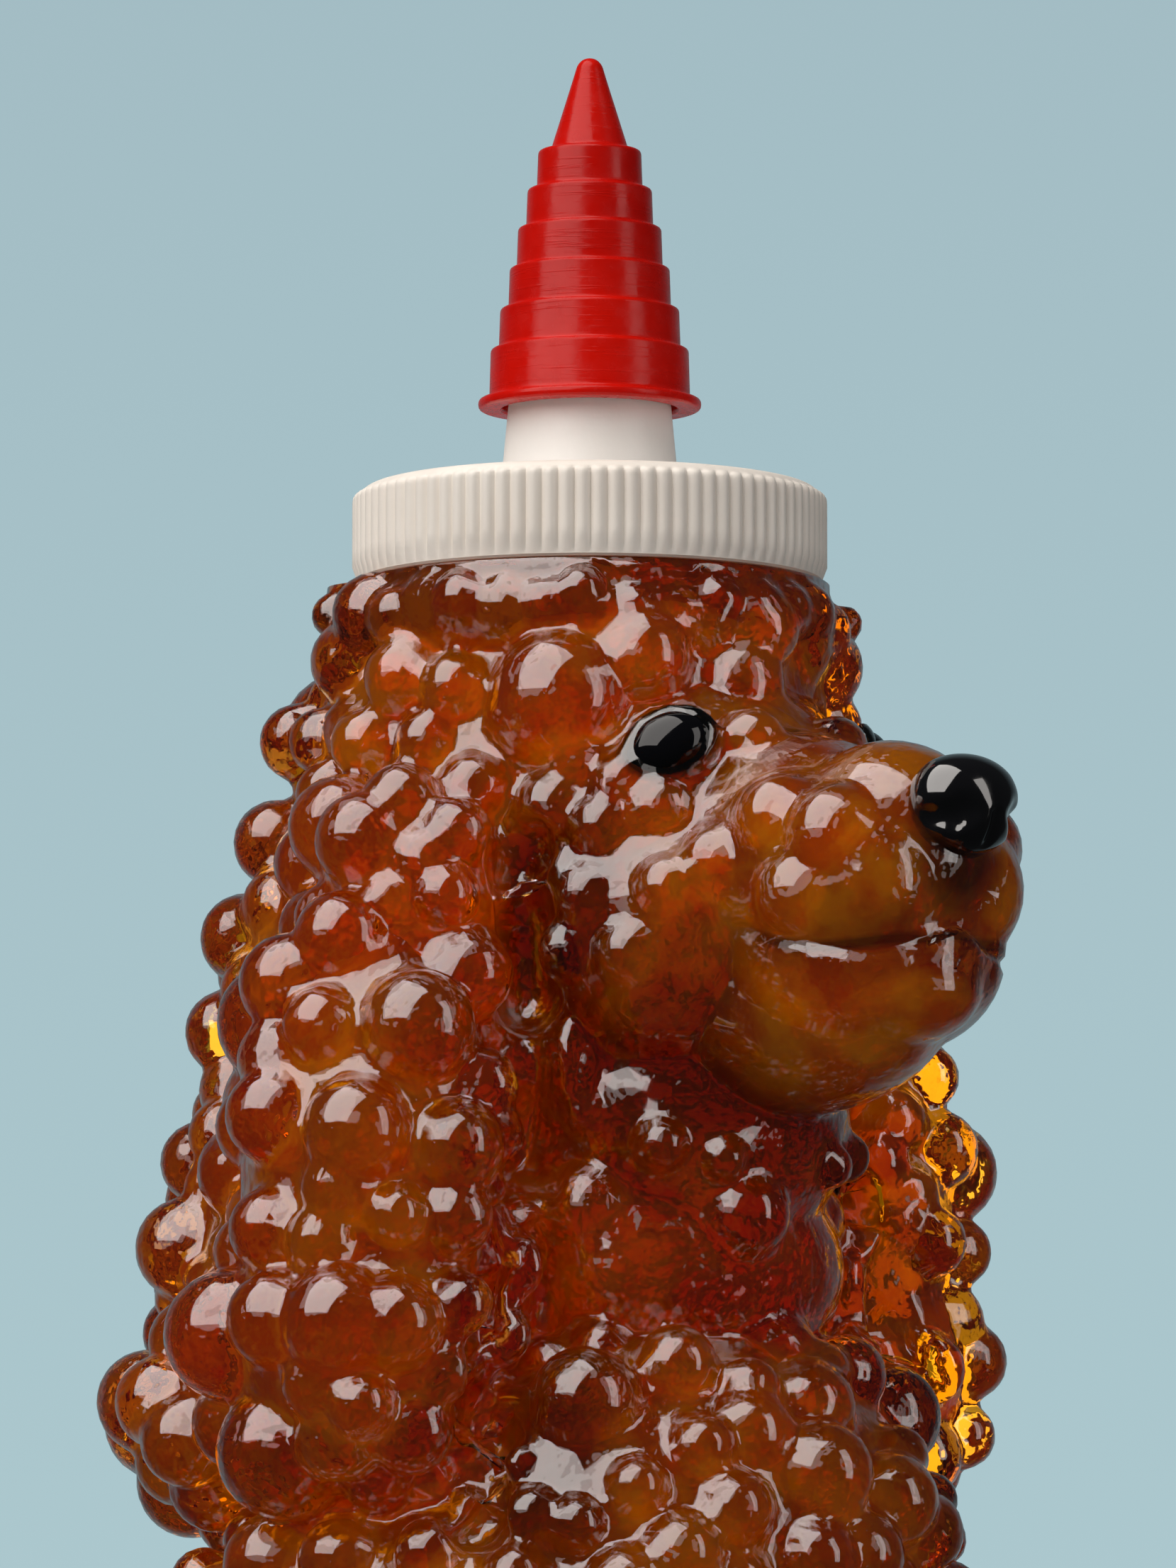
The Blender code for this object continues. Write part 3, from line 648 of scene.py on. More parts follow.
def close_ends(piece, top_rings, foot_rings):
    """Cuts a piece level at both ends and closes each with its rings."""
    top, foot = top_rings[0][1], foot_rings[0][1]
    cut_level(piece, top, 1)
    cut_level(piece, foot, -1)
    edit(piece, "EDGE")
    raise_rings(96, top_rings, closed=True)
    bridge_to_rim(top)
    bpy.ops.mesh.select_all(action="DESELECT")
    raise_rings(72, foot_rings, closed=True)
    bridge_to_rim(foot)
    face_outward()
    piece.data.shade_smooth()


neck_outer = 0.0174
neck_bore = 0.0155
mouth_z = 0.162
honey_z = body_height + 0.0004
foot_rim = 0.016
foot_rise = 0.0022
close_ends(dog, [
    (neck_outer, cut_z), (neck_outer, cut_z + 0.0003), (neck_outer, mouth_z - 0.0005),
    (neck_outer - 0.00015, mouth_z - 0.00015), (neck_outer - 0.0005, mouth_z),
    (neck_bore + 0.0004, mouth_z), (neck_bore + 0.0001, mouth_z - 0.0001),
    (neck_bore, mouth_z - 0.0004), (neck_bore, honey_z), (neck_bore, honey_z - 0.0006),
    (neck_bore * 0.5, honey_z - 0.0006), (neck_bore * 0.05, honey_z - 0.0006),
], [
    (foot_rim, 0), (foot_rim * 0.97, 0.0002), (foot_rim * 0.85, foot_rise * 0.28),
    (foot_rim * 0.65, foot_rise * 0.58), (foot_rim * 0.4, foot_rise * 0.84),
    (foot_rim * 0.15, foot_rise * 0.98), (foot_rim * 0.03, foot_rise),
])
skin = bmesh.new()
skin.from_mesh(dog.data)
open_count = sum(len(edge.link_faces) != 2 for edge in skin.edges)
print("open edges:", open_count, "of", len(skin.edges))
skin.free()

# %% [markdown]
# ## The honey inside
#
# The fill has the shape of the bottle's inside: the dog's forms without their curls, drawn in by
# the wall and rounded, because blown plastic and thick honey both smooth out small shapes.

# %% Make the fill
inside = 0.0016
deeper_fill = {"ear": 0.0030, "throat": 0.0035, "neck": 0.0030}
fill_grain = 0.0009
fill_valley_half_width, fill_valley_depth = 0.0050, 0.0036
solid_forms = ("hind_paw", "front_paw", "tail", "ear_root", "shoulder")
egg = ball(3)
clay = []
for name, (place, halves) in forms.items():
    if not name.startswith(solid_forms):
        inset = next((deep for key, deep in deeper_fill.items() if name.startswith(key)), inside)
        clay.append(copy_of(egg, placed(place, halves - Vector((inset,) * 3))))
honey = melted(clay, fill_grain, 10)
keep_outer_skin(honey)
bpy.data.objects.remove(egg)
for side in (1, -1):
    pull_in(honey.data, ear_front * (side, 1, 1), fill_valley_half_width, fill_valley_depth)
fill_shoulder = 0.1535
fill_foot = 0.0045
fill_foot_rim = 0.012
fill_radius = neck_bore - 0.0002
close_ends(honey, [
    (fill_radius, fill_shoulder), (fill_radius, honey_z - 0.0003),
    (fill_radius - 0.0003, honey_z), (fill_radius * 0.5, honey_z), (fill_radius * 0.05, honey_z),
], [(fill_foot_rim, fill_foot), (fill_foot_rim * 0.05, fill_foot)])
print("the honey has", len(honey.data.polygons), "faces")

# %% [markdown]
# ## Round pieces
#
# The collar, spout, cap and seal are turned about the neck's axis. Each is drawn as half a section,
# a list of (radius, height) corners. Real mouldings have no knife edges, so every corner is cut
# back into a small curve. The section is then raised ring by ring, as the neck was.

# %% Round the corners of a section


def eased(corners, reach, steps=3):
    """The same section with every inner corner replaced by a curve that starts reach before it."""
    points = [Vector(corners[0])]
    for before, corner, after in zip(corners[:-2], corners[1:-1], corners[2:]):
        before, corner, after = Vector(before), Vector(corner), Vector(after)
        cut = min(reach, (corner - before).length / 2, (after - corner).length / 2)
        first = corner + (before - corner).normalized() * cut
        last = corner + (after - corner).normalized() * cut
        for step in range(steps + 1):
            share = step / steps
            points.append(first.lerp(corner, share).lerp(corner.lerp(last, share), share))
    return [tuple(point) for point in points + [Vector(corners[-1])]]


def turned(sides, *sections, closed):
    """One piece from sections that start at the same ring, with its doubled rings merged."""
    piece = new_object("turned", bpy.data.meshes.new("turned"))
    edit(piece, "EDGE")
    for section in sections:
        bpy.ops.mesh.select_all(action="DESELECT")
        raise_rings(sides, section, closed)
    bpy.ops.mesh.select_all(action="SELECT")
    bpy.ops.mesh.remove_doubles(threshold=same_point)
    face_outward()
    return piece


def smooth_by(piece, degrees):
    only(piece)
    bpy.ops.object.shade_smooth_by_angle(angle=radians(degrees))


# %% [markdown]
# ## The screw collar
#
# Ninety fine upright ribs let a sticky hand turn the collar. Each covers six columns of points on
# the ring. A column is picked by its angle and scaled outward, the middle ones most, so the ribs
# are round across. Near a rib's ends the points move less, so it runs out softly.

# %% Turn the collar
rib_count = 90
rib_depth = 0.00042
rib_columns = 6
rib_end = 0.0005
collar_outer = 0.0200
collar_core = collar_outer - rib_depth
collar_bore = 0.0185
collar_top = 0.1655
collar_lip = 0.0011
collar_shoulder = 0.0013
spout_hole = 0.0078
rib_low = collar_bottom + 0.00030
rib_high = collar_top - collar_shoulder * 0.42
shoulder = [
    (collar_core - collar_shoulder * (1 - cos(turn)),
     collar_top - collar_shoulder * (1 - sin(turn)))
    for turn in (radians(step * 9) for step in range(11))
]
rib_rows = [rib_low + (collar_top - collar_shoulder - rib_low) * step / 6 for step in range(6)]
section = [
    (collar_bore + 0.0002, collar_bottom), (collar_core - 0.0002, collar_bottom),
    (collar_core, collar_bottom + 0.0002), *((collar_core, row) for row in rib_rows), *shoulder,
    (spout_hole + 0.0003, collar_top), (spout_hole, collar_top - 0.0003),
    (spout_hole, collar_top - collar_lip), (collar_bore - 0.0004, collar_top - collar_lip),
    (collar_bore, collar_top - collar_lip - 0.0004), (collar_bore, collar_bottom + 0.0002),
    (collar_bore + 0.0002, collar_bottom),
]
collar = turned(rib_count * rib_columns, section, closed=False)
print("the collar's ring has", len(collar.data.polygons), "faces")

# %% Push out the ribs
across_rib = (0.55, 0.92, 1.00, 0.92, 0.55)


def along_rib(height):
    """How far out a rib stands at that height, as a share: it is round at both its ends."""
    near_end = min(height - rib_low, rib_high - height) / rib_end
    return sqrt(max(0.0, 1 - (1 - min(max(near_end, 0.0), 1.0)) ** 2))


edit(collar)
heights = sorted({
    round(vert.co.z, 6) for vert in bmesh.from_edit_mesh(collar.data).verts
    if along_rib(vert.co.z) > 0 and Vector(vert.co.xy).length > collar_core - collar_shoulder
})
for height in heights:
    for column, share in enumerate(across_rib):
        def on_rib(spot):
            turn = (atan2(spot.y, spot.x) / (2 * pi)) % 1
            place = round(turn * rib_count * rib_columns) % rib_columns
            outside = spot.xy.length > collar_core - collar_shoulder * 0.6
            return place == column and outside and abs(spot.z - height) < same_row
        select_where(on_rib)
        grow = 1 + rib_depth * share * along_rib(height) / collar_core
        scale_by(grow, grow, 1)
leave_edit()
smooth_by(collar, 38)
rib_reach = max(vert.co.xy.length for vert in collar.data.vertices)
print("the ribs reach", round(rib_reach * 1000, 2), "mm out")

# %% [markdown]
# ## Threads
#
# A screw thread is one small section swept round and up at once, and the Screw modifier does just
# that. The neck has it outside and the collar inside, half a pitch apart, so they pass each other.
# Both ends of each thread are drawn back into the wall, so that it starts without a catch.

# %% Sweep the threads
thread_pitch = 0.0030
thread_turns = 1.1
thread_height = 0.0010
neck_crest, neck_thread_foot = neck_outer + 0.00065, 0.15815
collar_crest, collar_thread_foot = collar_bore - 0.00055, 0.15975


def thread(root, crest, foot):
    """A thread whose rounded section stands from the root radius to the crest radius."""
    piece = new_object("thread", bpy.data.meshes.new("thread"))
    edit(piece, "EDGE")
    bpy.ops.mesh.primitive_circle_add(
        vertices=10, radius=1, location=((root + crest) / 2, 0, foot), rotation=(pi / 2, 0, 0)
    )
    scale_by(abs(crest - root) / 2, 1, thread_height / 2, ((root + crest) / 2, 0, foot))
    leave_edit()
    sweep = piece.modifiers.new("sweep", "SCREW")
    sweep.angle = 2 * pi * thread_turns
    sweep.screw_offset = thread_pitch * thread_turns
    sweep.steps = sweep.render_steps = 96
    apply_all(piece)
    edit(piece, "EDGE")
    bpy.ops.mesh.select_all(action="SELECT")
    bpy.ops.mesh.fill_holes(sides=0)
    bpy.ops.mesh.normals_make_consistent(inside=False)
    top = foot + thread_pitch * thread_turns
    for end, way in ((foot, 1), (top, -1)):
        for step in range(4):
            reach = end + way * (thread_height / 2 + thread_pitch * (step + 1) / 90)
            select_where(lambda spot: (reach - spot.z) * way > 0)
            drawn = 1 - (crest - root) * 0.3 / root
            scale_by(drawn, drawn, 1)
    leave_edit()
    smooth_by(piece, 50)
    return piece


neck_thread = thread(neck_outer, neck_crest, neck_thread_foot)
collar_thread = thread(collar_bore, collar_crest, collar_thread_foot)

# %% [markdown]
# ## The seal
#
# A thin foam washer on the mouth keeps the honey in. It is die cut, so its edges are nearly square.

# %% Turn the seal
seal_low, seal_high = 0.1623, 0.1629
seal_bore, seal_outer = 0.0137, 0.0170
start = (seal_bore, (seal_low + seal_high) / 2)
section = eased([
    start, (seal_bore, seal_low), (seal_outer, seal_low), (seal_outer, seal_high),
    (seal_bore, seal_high), start,
], 0.00012)
seal = turned(128, section, closed=False)
smooth_by(seal, 40)

# %% [markdown]
# ## The spout
#
# The collar clamps the spout by its flange. Above it the wall runs straight to a slight knee, then
# in to a small round mouth.

# %% Turn the spout
flange_z, flange_top, flange_outer = 0.1632, 0.1641, 0.0174
spout_root, spout_wall = 0.0075, 0.0011
knee_z, knee = 0.1737, 0.00675
tip_z, tip = 0.1870, 0.00365
orifice, orifice_depth = 0.0018, 0.0016
start = (spout_root - spout_wall, (flange_z + knee_z) / 2)
section = eased([
    start, (spout_root - spout_wall, flange_z),
    (flange_outer, flange_z), (flange_outer, flange_top), (spout_root + 0.0002, flange_top),
    (spout_root, flange_top + 0.0016), (knee, knee_z), (tip, tip_z), (orifice, tip_z),
    (orifice, tip_z - orifice_depth), (knee - spout_wall, knee_z), start,
], 0.0003)
spout = turned(128, section, closed=False)
smooth_by(spout, 40)

# %% [markdown]
# ## The red cap
#
# Six steps and a cone over a thin flange. Fingers grip the steps, and each step is a little wider
# at its foot, so the cap leaves its mould. The inside follows the outside at an even wall.

# %% Turn the cap
cap_z = 0.1722
flange_lip = 0.00105
flange_height = 0.0009
cap_wall = 0.0010
cap_foot = 0.0167
step_outer_shares = (1.0, 0.904, 0.808, 0.7246, 0.629, 0.521)
step_height_shares = (1.0, 0.812, 0.812, 0.812, 0.788, 0.776)
step_foot_height = 0.00425
step_draft = 0.00012
cone_height = 0.0079
cone_share, cap_tip_share = 0.395, 0.156
flange = cap_foot / 2 + flange_lip
start = (cap_foot / 2 - cap_wall + 0.0002, cap_z)
outside = [start, (flange, cap_z), (flange, cap_z + flange_height)]
inside_wall = [start]
height, inner_height = cap_z + flange_height, cap_z
for outer_share, height_share in zip(step_outer_shares, step_height_shares):
    radius = cap_foot * outer_share / 2
    head = height + step_foot_height * height_share
    outside += [(radius + step_draft, height), (radius, head)]
    inner = radius - cap_wall
    inside_wall += [(inner, inner_height + 0.0002), (inner, head - cap_wall)]
    height, inner_height = head, head - cap_wall
cone, cap_tip = cap_foot * cone_share / 2, cap_foot * cap_tip_share / 2
cap_top = height + cone_height
outside += [
    (cone, height), (cap_tip * 1.02, cap_top - cap_tip * 1.2),
    (cap_tip * 0.80, cap_top - cap_tip * 0.45), (cap_tip * 0.45, cap_top - cap_tip * 0.10),
    (cap_tip * 0.05, cap_top),
]
inside_wall += [(cone - cap_wall, inner_height), (0.0004, cap_top - 2 * cap_tip)]
cap = turned(128, eased(outside, 0.00042, 4), eased(inside_wall, 0.0002, 2), closed=True)
smooth_by(cap, 40)
print("the cap stands from", round(cap_z * 1000, 1), "to", round(cap_top * 1000, 1), "mm")

# %% [markdown]
# ## Eyes and nose
#
# Eyes on a piece like this are glossy glass drops, set in under the lids. A round egg is drawn out
# to two corners: every point is pressed flatter the nearer it is to the egg's ends.

# %% Set the eyes
eyes = []
drop = ball(5)
edit(drop)
for reach, press in ((0.45, 0.96), (0.60, 0.93), (0.75, 0.88), (0.88, 0.80)):
    select_where(lambda spot: abs(spot.x) > reach)
    scale_by(1, press, press)
leave_edit()
soften(drop, 12)
for side, name in ((-1, "eye_right"), (1, "eye_left")):
    eye = copy_of(drop, eye_matrix(side))
    eye.data.shade_smooth()
    eyes.append((name, eye))
bpy.data.objects.remove(drop)

# %% [markdown]
# A nose starts as a box, with its lower corners drawn together. Subdivision Surface turns the
# coarse cage into one smooth form. Then the points inside two small ovals are pushed in for the
# nostrils, and a groove is pressed in below them.

# %% Shape the nose
nose_place, _ = form(((0.0, 0.9175, 0.861), (0, 0, 0)))
nose_halves = Vector((0.0054, 0.0040, 0.0042))
cage_share, foot_share = 1.22, 0.74
nostril = (0.60, -0.68, -0.26)
nostril_across, nostril_up = 0.00125, 0.00095
nothing_selected()
bpy.ops.mesh.primitive_cube_add(size=2, location=nose_place)
nose = bpy.context.object
edit(nose)
bpy.ops.mesh.select_all(action="SELECT")
scale_by(*nose_halves * cage_share, nose_place)
select_where(lambda spot: spot.z < 0)
scale_by(foot_share, 1, 1, nose_place)
leave_edit()
bpy.ops.object.transform_apply(location=True)


def subdivided(piece, levels):
    only(piece)
    finer = piece.modifiers.new("finer", "SUBSURF")
    finer.levels = finer.render_levels = levels
    apply_all(piece)


subdivided(nose, 3)
for side in (-1, 1):
    spot = nose_place + Vector([
        (side, 1, 1)[axis] * nostril[axis] * nose_halves[axis] for axis in range(3)
    ])
    for size, way in (
        (1.3, (-side * 0.0003, 0.0004, 0.0)), (0.9, (-side * 0.0002, 0.0003, 0.0001))
    ):
        edit(nose)

        def in_nostril(place):
            away = place - spot
            spread_out = (away.x / nostril_across) ** 2 + (away.z / nostril_up) ** 2
            return spread_out < size ** 2 and away.y < 0.003
        select_where(in_nostril)
        bpy.ops.transform.translate(value=way)
    leave_edit()
nose_front = nose_place - Vector((0, nose_halves.y, 0))
groove = np.array([
    nose_front + Vector((0, 0, -0.0010)), nose_front + Vector((0, 0.0012, -0.0042))
])
subdivided(nose, 2)
pull_in(nose.data, groove, 0.0008, 0.0004)
nose.data.shade_smooth()
print("the nose has", len(nose.data.polygons), "faces")

# %% [markdown]
# ## Finishes
#
# Each finish is a small network of nodes. Noise on Object coordinates changes its colour and its
# gloss a little from place to place, because an even colour always looks unreal.

# %% Helpers for finishes


def finish(name, colour, roughness, **sockets):
    """A Principled finish with its plain values set on its own sockets."""
    made = bpy.data.materials.new(name)
    made.use_nodes = True
    shader = made.node_tree.nodes["Principled BSDF"]
    shader.inputs["Base Color"].default_value = (*colour, 1)
    shader.inputs["Roughness"].default_value = roughness
    for socket, value in sockets.items():
        shader.inputs[socket.replace("_", " ")].default_value = value
    return made


def joined(made, kind, inputs, **settings):
    """Adds a node, and feeds its sockets numbers, colours or what other nodes give."""
    node = made.node_tree.nodes.new("ShaderNode" + kind)
    for key, value in settings.items():
        if hasattr(node, key):
            setattr(node, key, value)
        else:
            node.inputs[key.replace("_", " ")].default_value = value
    for socket, value in inputs.items():
        if isinstance(value, bpy.types.NodeSocket):
            made.node_tree.links.new(value, node.inputs[socket])
        else:
            node.inputs[socket].default_value = (*value, 1) if isinstance(value, tuple) else value
    return node


def worked(made, kind, *values):
    """One step of arithmetic."""
    return joined(made, "Math", dict(enumerate(values)), operation=kind).outputs[0]


def on_piece(made, stretch=(1, 1, 1)):
    """Object coordinates, stretched so that a pattern can run long one way."""
    place = joined(made, "TexCoord", {})
    return joined(made, "Mapping", {0: place.outputs["Object"]}, Scale=stretch).outputs[0]


def noise(made, where, scale, detail=2.0):
    return joined(made, "TexNoise", {"Vector": where}, Scale=scale, Detail=detail).outputs["Fac"]


def spread(made, value, low, high, to_low, to_high):
    """Maps a value from one span to another."""
    return joined(made, "MapRange", {"Value": value}, From_Min=low, From_Max=high,
                  To_Min=to_low, To_Max=to_high).outputs["Result"]


def blended(made, share, first, second):
    """Mixes two colours."""
    sockets = {"Factor": share, 6: first, 7: second}
    return joined(made, "Mix", sockets, data_type="RGBA").outputs[2]


def bumped(made, height, strength, distance, under=None):
    node = joined(made, "Bump", {"Height": height}, Strength=strength, Distance=distance)
    if under is not None:
        made.node_tree.links.new(under, node.inputs["Normal"])
    return node.outputs["Normal"]


def into(made, socket, source, node="Principled BSDF"):
    made.node_tree.links.new(source, made.node_tree.nodes[node].inputs[socket])


def uneven(made, where, smears, ripples):
    """Gloss that varies, from (scale, detail, low, high, least, most), and low bumps, from (scale,
    detail, strength, depth)."""
    scale, detail, *spans = smears
    into(made, "Roughness", spread(made, noise(made, where, scale, detail), *spans))
    scale, detail, strength, depth = ripples
    into(made, "Normal", bumped(made, noise(made, where, scale, detail), strength, depth))


def folded_over(made, where):
    """Object coordinates with the dog's right side folded onto its left, since both are alike."""
    across, forward, up = joined(made, "SeparateXYZ", {0: where}).outputs
    aside = worked(made, "ABSOLUTE", across)
    return joined(made, "CombineXYZ", {0: aside, 1: forward, 2: up}).outputs[0]


def within(made, where, egg_matrix, soft):
    """One inside an egg of that place, turn and half sizes, falling to nothing just outside."""
    place, turn, halves = egg_matrix.decompose()
    inner = joined(made, "Mapping", {0: where}, vector_type="TEXTURE", Location=place,
                   Rotation=turn.to_euler(), Scale=halves)
    size = joined(made, "VectorMath", {0: inner.outputs[0]}, operation="LENGTH").outputs["Value"]
    return spread(made, size, 1.0, 1.0 + soft, 1.0, 0.0)


def absorbing(made, red, green, blue):
    """Colours what passes through: how much of each colour is lost on a metre of the way."""
    top = max(red, green, blue) * 1.02
    colour = (1 - red / top, 1 - green / top, 1 - blue / top, 1)
    fog = joined(made, "VolumeAbsorption", {}, Color=colour, Density=top)
    into(made, "Volume", fog.outputs[0], "Material Output")


# %% [markdown]
# ## The amber plastic
#
# The dog's plastic is clear and only tinted, so it is one closed solid that bends light and loses
# blue, then green, on the way through it. A hard gloss coat gives the wide soft highlights, and a
# low slow bump makes them wander. Black paint fades like smoke under the nose, the rim of each eye
# is darker, and painted shade darkens the crease of the mouth, a curve through its traced places.

# %% Mix the amber plastic
# Black for the paint under the nose, and the same black as painted shade in the mouth's crease.
amber_tint, paint_and_shade_black = (1, 0.52, 0.12), (0.020, 0.017, 0.018)
amber = finish("amber_plastic", amber_tint, 0.03, Transmission_Weight=1.0, IOR=1.45,
               Coat_Weight=1.0, Coat_IOR=1.85, Coat_Roughness=0.06)
absorbing(amber, 6, 38, 230)
where = on_piece(amber)
uneven(amber, where, (420, 4, 0.45, 0.75, 0.02, 0.12), (230, 3, 0.7, 0.0016))
smoke_place = nose_place + Vector((0, 0.0005, -0.0045))
away = joined(amber, "VectorMath", {0: where, 1: smoke_place}, operation="DISTANCE")
smoke = spread(amber, away.outputs["Value"], 0.0022, 0.0062, 0.92, 0.0)
# Painted shade: the crease of the mouth is drawn dark along a curve fitted through its traced
# places.
bend, rise, level = (float(share) for share in np.polyfit(mouth[:, 1], mouth[:, 2], 2))
mouth_end = float(mouth[0][1])
_, forward, up = joined(amber, "SeparateXYZ", {0: where}).outputs
curve = worked(amber, "MULTIPLY", forward, worked(amber, "MULTIPLY_ADD", forward, bend, rise))
above = worked(amber, "SUBTRACT", worked(amber, "SUBTRACT", up, curve), level)
line = spread(amber, worked(amber, "ABSOLUTE", above), 0.00025, 0.0007, 0.85, 0.0)
front = spread(amber, forward, mouth_end, mouth_end - 0.004, 0.0, 1.0)
rim_egg = eye_matrix(1, Vector((0.0003, 0.0022, 0.0003)))
eye_rim = within(amber, folded_over(amber, where), rim_egg, 0.22)
# One mask for the paint under the nose, the painted shade of the mouth and the darker eye rims.
dark = worked(amber, "MAXIMUM", smoke, worked(amber, "MULTIPLY", line, front))
dark = worked(amber, "MAXIMUM", dark, eye_rim)
into(amber, "Base Color", blended(amber, dark, amber_tint, paint_and_shade_black))

# %% [markdown]
# ## The honey
#
# Honey is clouded by fine crystals, so part of the light that enters is scattered back and the
# rest passes on. The mix of the two gives the glow. Slow noise makes it darker and lighter in
# drifts. Under the jaw and in front of the ears its colour is painted darker: painted shade, where
# the forms above would shade it.

# %% Mix the honey
golden = finish("honey", (1, 0.33, 0.012), 0.12, Transmission_Weight=0.50, IOR=1.05)
absorbing(golden, 18, 66, 260)
where = on_piece(golden)
drift = spread(golden, noise(golden, where, 190, 4), 0.38, 0.60, 0.0, 1.0)
folded = folded_over(golden, where)
# Painted shade: the honey's colour is darkened in an egg under the jaw.
shade = within(golden, folded, placed(
    (0, -0.33 * nose_reach, 0.745 * body_height), (0.012, 0.0085, 0.0080)), 1.0)
to_chest = Vector((cos(view_turn), sin(view_turn), 0)) * 0.0030
# Painted shade in the valley in front of each ear, where the cheek would shade the honey.
for spot, size in (
    (ear_front[1], (0.0055, 0.0055, 0.0080)), (ear_front[5], (0.0038, 0.0038, 0.026))
):
    place = (Vector(spot) + to_chest) * mirror
    painted_valley_shade = within(golden, folded, placed(place, size), 1.0)
    shade = worked(golden, "MAXIMUM", shade, painted_valley_shade)
glowing = blended(golden, drift, (0.74, 0.24, 0.005), (1, 0.66, 0.022))
# The dark brown is the colour of the painted shade.
into(golden, "Base Color", blended(golden, shade, glowing, (0.24, 0.065, 0.001)))
into(golden, "Normal", bumped(golden, noise(golden, where, 260, 3), 0.3, 0.0006))

# %% [markdown]
# ## The opaque plastics
#
# The collar and the spout are warm white, with a very fine grain from the mould. The cap is a deep
# red with a satin skin. It has been twisted on and off, so fine scratches run round it.

# %% Mix the whites and the red


def moulded(name, colour, shade, roughness, grain, depth):
    """Opaque moulded plastic: slow drifts of shade, uneven gloss and a fine grain."""
    made = finish(name, colour, roughness)
    where = on_piece(made)
    drift = spread(made, noise(made, where, 90, 5), 0.35, 0.65, 0.0, 1.0)
    into(made, "Base Color", blended(made, drift, shade, colour))
    smears = (700, 3, 0.3, 0.7, roughness - 0.08, roughness + 0.10)
    uneven(made, where, smears, (grain, 3, 0.25, depth))
    return made


cream = moulded("cream_plastic", (0.90, 0.84, 0.76), (0.84, 0.77, 0.69), 0.42, 2400, 0.00008)
white = moulded("warm_white_plastic", (0.85, 0.84, 0.81), (0.81, 0.79, 0.75), 0.40, 2000, 0.00006)
foam = moulded("seal_foam", (0.80, 0.78, 0.72), (0.70, 0.68, 0.62), 0.85, 5200, 0.00020)
red = moulded("red_plastic", (0.58, 0.006, 0.002), (0.46, 0.004, 0.002), 0.22, 1500, 0.00005)
where = on_piece(red, (60, 60, 1400))
red.node_tree.nodes["Principled BSDF"].inputs["Specular IOR Level"].default_value = 0.22
scratches = spread(red, noise(red, where, 3.0, 4), 0.58, 0.70, 0.0, 1.0)
grain = red.node_tree.nodes["Principled BSDF"].inputs["Normal"].links[0].from_socket
into(red, "Normal", bumped(red, scratches, 0.30, 0.00006, grain))

# %% Mix the black of the nose and of the eyes
black = finish("black_gloss", (0.004, 0.004, 0.005), 0.06, Coat_Weight=1.0, Coat_IOR=1.8,
               Coat_Roughness=0.05)
uneven(black, on_piece(black), (500, 4, 0.4, 0.7, 0.05, 0.20), (380, 2, 0.25, 0.00025))
eye_black = finish("eye_gloss", (0.003, 0.003, 0.004), 0.05, Specular_IOR_Level=0.30,
                   Coat_Weight=0.5, Coat_IOR=1.4, Coat_Roughness=0.03)
uneven(eye_black, on_piece(eye_black), (900, 3, 0.4, 0.7, 0.04, 0.12), (420, 2, 0.2, 0.00015))

# %% Give every piece its finish
finish_piece(dog, "dog_body", "bottle", amber, ["bottle"])
finish_piece(neck_thread, "neck_thread", "bottle", amber)
finish_piece(honey, "honey_fill", "bottle", golden, ["honey"])
finish_piece(seal, "foam_seal", "liner", foam, ["sealing_liner"])
finish_piece(spout, "pouring_spout", "spout", white, ["spout"])
finish_piece(collar, "ribbed_collar", "collar", cream, ["screw_collar"])
finish_piece(collar_thread, "collar_thread", "collar", cream)
finish_piece(cap, "stepped_cap", "cap", red, ["spout_cap"])
finish_piece(nose, "painted_nose", "bottle", black, ["nose"])
for name, eye in eyes:
    finish_piece(eye, name + "_glass", "bottle", eye_black, [name])

# %% [markdown]
# ## The studio
#
# The bottle stands on pale paper in front of a pale blue sheet. The Light Path node shows the sheet
# to the camera, and to rays that pass through or glance off the bottle on the sheet's side. The
# rest of the room is dim, so gloss there shows only the soft boxes. Far from the bottle the paper
# fades into the colour of the sheet's foot.

# %% Lay the floor and hang the sheet
sheet_low = (0.418, 0.584, 0.624)
sheet_high = (0.362, 0.497, 0.545)
nothing_selected()
bpy.ops.mesh.primitive_plane_add(size=6, location=(0, 0, -0.0002))
floor = bpy.context.object
floor.name = "paper_floor"
paper = finish("pale_paper", (0.50, 0.62, 0.66), 0.9)
away = joined(paper, "VectorMath", {0: on_piece(paper)}, operation="LENGTH").outputs["Value"]
sight = joined(paper, "LightPath", {}).outputs["Is Camera Ray"]
far = worked(paper, "MULTIPLY", spread(paper, away, 0.16, 0.60, 0, 1), sight)
glow = joined(paper, "Emission", {}, Color=(*sheet_low, 1))
lit = paper.node_tree.nodes["Principled BSDF"].outputs[0]
faded = joined(paper, "MixShader", {0: far, 1: lit, 2: glow.outputs[0]})
into(paper, "Surface", faded.outputs[0], "Material Output")
floor.data.materials.append(paper)
floor.visible_glossy = False
floor.visible_diffuse = False

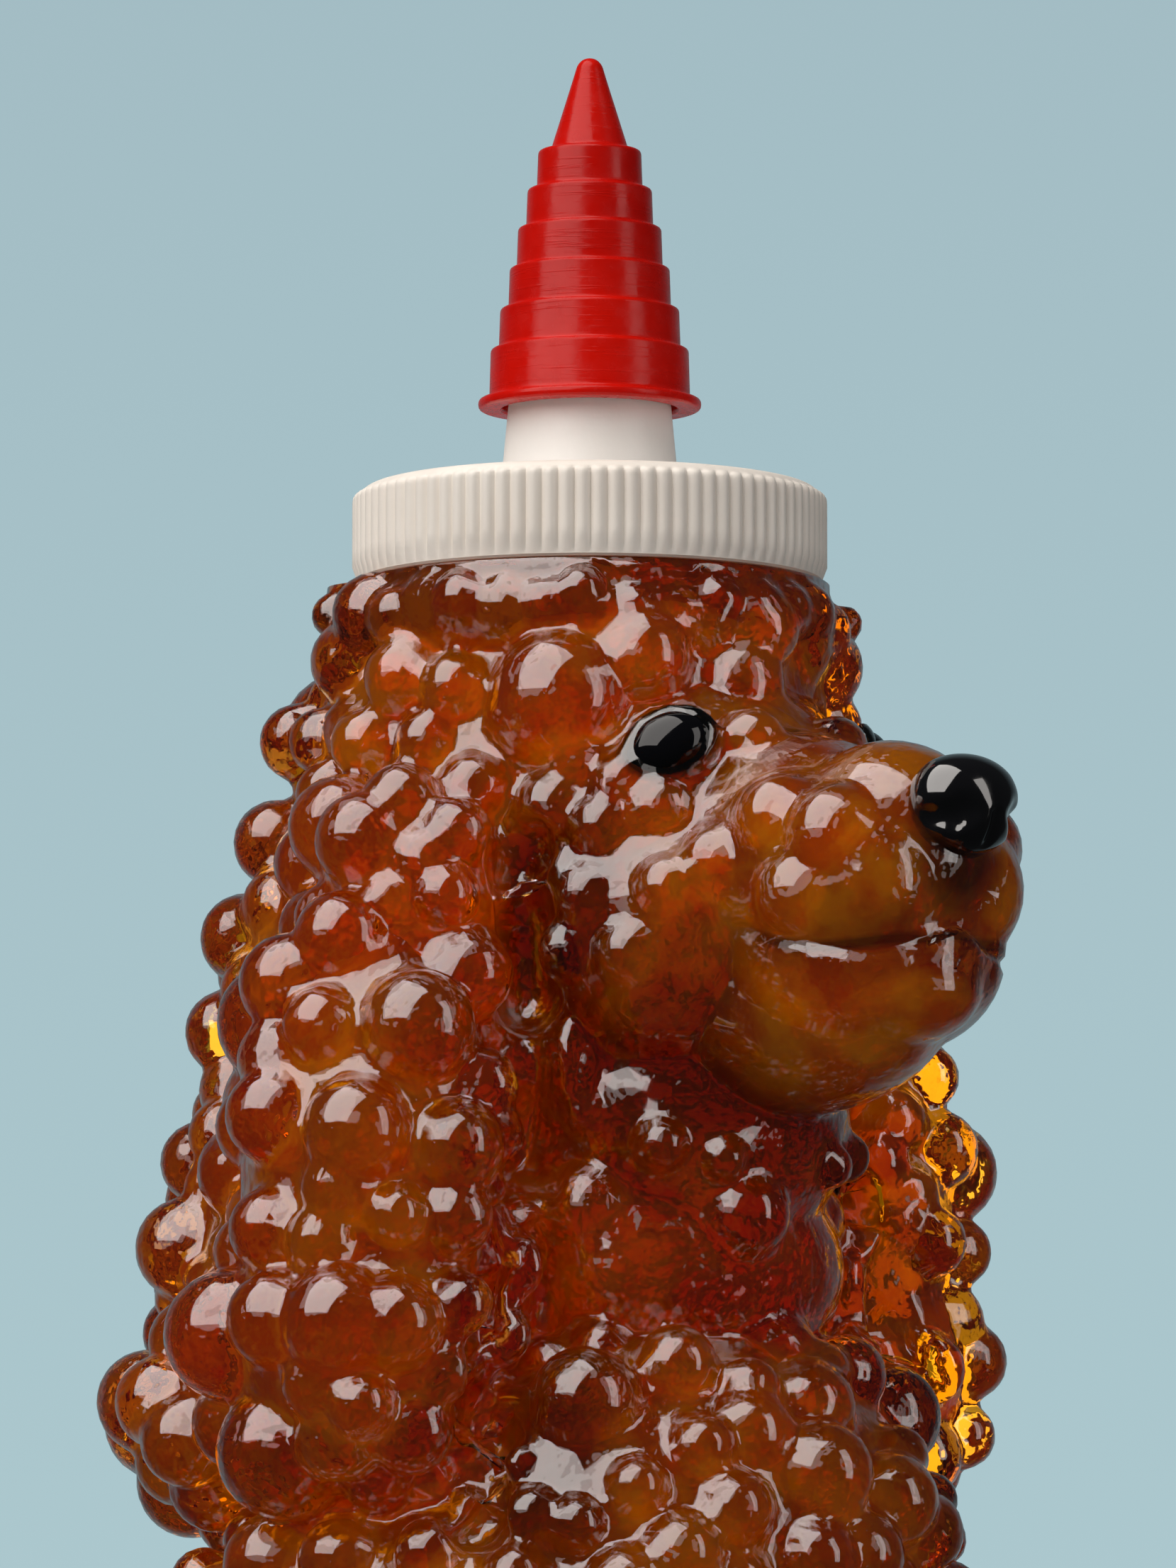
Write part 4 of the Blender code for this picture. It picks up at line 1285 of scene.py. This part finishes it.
world = bpy.data.worlds.new("studio")
bpy.context.scene.world = world
world.use_nodes = True
room = world.node_tree.nodes["Background"]
room.inputs["Color"].default_value = (0.80, 0.86, 0.90, 1)
way = joined(world, "TexCoord", {}).outputs["Generated"]
height = joined(world, "SeparateXYZ", {0: way}).outputs["Z"]
sheet_colour = blended(world, spread(world, height, 0.02, 0.19, 0, 1), sheet_low, sheet_high)
sheet = joined(world, "Background", {"Color": sheet_colour})
sheet_way = Vector((-sin(view_turn), cos(view_turn), 0))
facing = joined(world, "VectorMath", {0: way, 1: sheet_way}, operation="DOT_PRODUCT")
on_sheet = spread(world, facing.outputs["Value"], 0.55, 0.95, 0, 1)
ray = joined(world, "LightPath", {}).outputs
glanced = spread(world, ray["Is Glossy Ray"], 0, 1, 0, 0.35)
bent = worked(world, "MAXIMUM", glanced, ray["Is Transmission Ray"])
behind = worked(world, "MULTIPLY", bent, on_sheet)
shown = worked(world, "MAXIMUM", ray["Is Camera Ray"], behind)
into(world, "Strength", spread(world, ray["Is Glossy Ray"], 0, 1, 0.16, 0.02), "Background")
pick = joined(world, "MixShader", {0: shown, 1: room.outputs[0], 2: sheet.outputs[0]})
into(world, "Surface", pick.outputs[0], "World Output")

# %% Hang the soft boxes
lamp_colour = (1, 0.95, 0.91)
lamp_aim = Vector((0, 0, 0.11))


def soft_box(name, turn, height, away, size, power):
    """An area lamp at that turn round the bottle, aimed at the dog's neck."""
    lamp = new_object(name, bpy.data.lights.new(name, "AREA"))
    lamp.data.shape = "RECTANGLE"
    lamp.data.size, lamp.data.size_y = size
    lamp.data.energy = power
    lamp.data.color = lamp_colour
    way = Vector((sin(radians(turn)), -cos(radians(turn)), 0))
    lamp.location = way * away + Vector((0, 0, height))
    lamp.rotation_euler = (lamp_aim - lamp.location).to_track_quat("-Z", "Y").to_euler()
    return lamp


soft_box("key_box", -89, 0.76, 0.52, (0.95, 1.3), 11.2)
soft_box("side_box", 20, 0.35, 0.80, (0.25, 0.80), 1.2)
back_box = soft_box("back_box", 150, 0.50, 0.90, (1.00, 1.00), 5.0)
back_box.visible_glossy = False
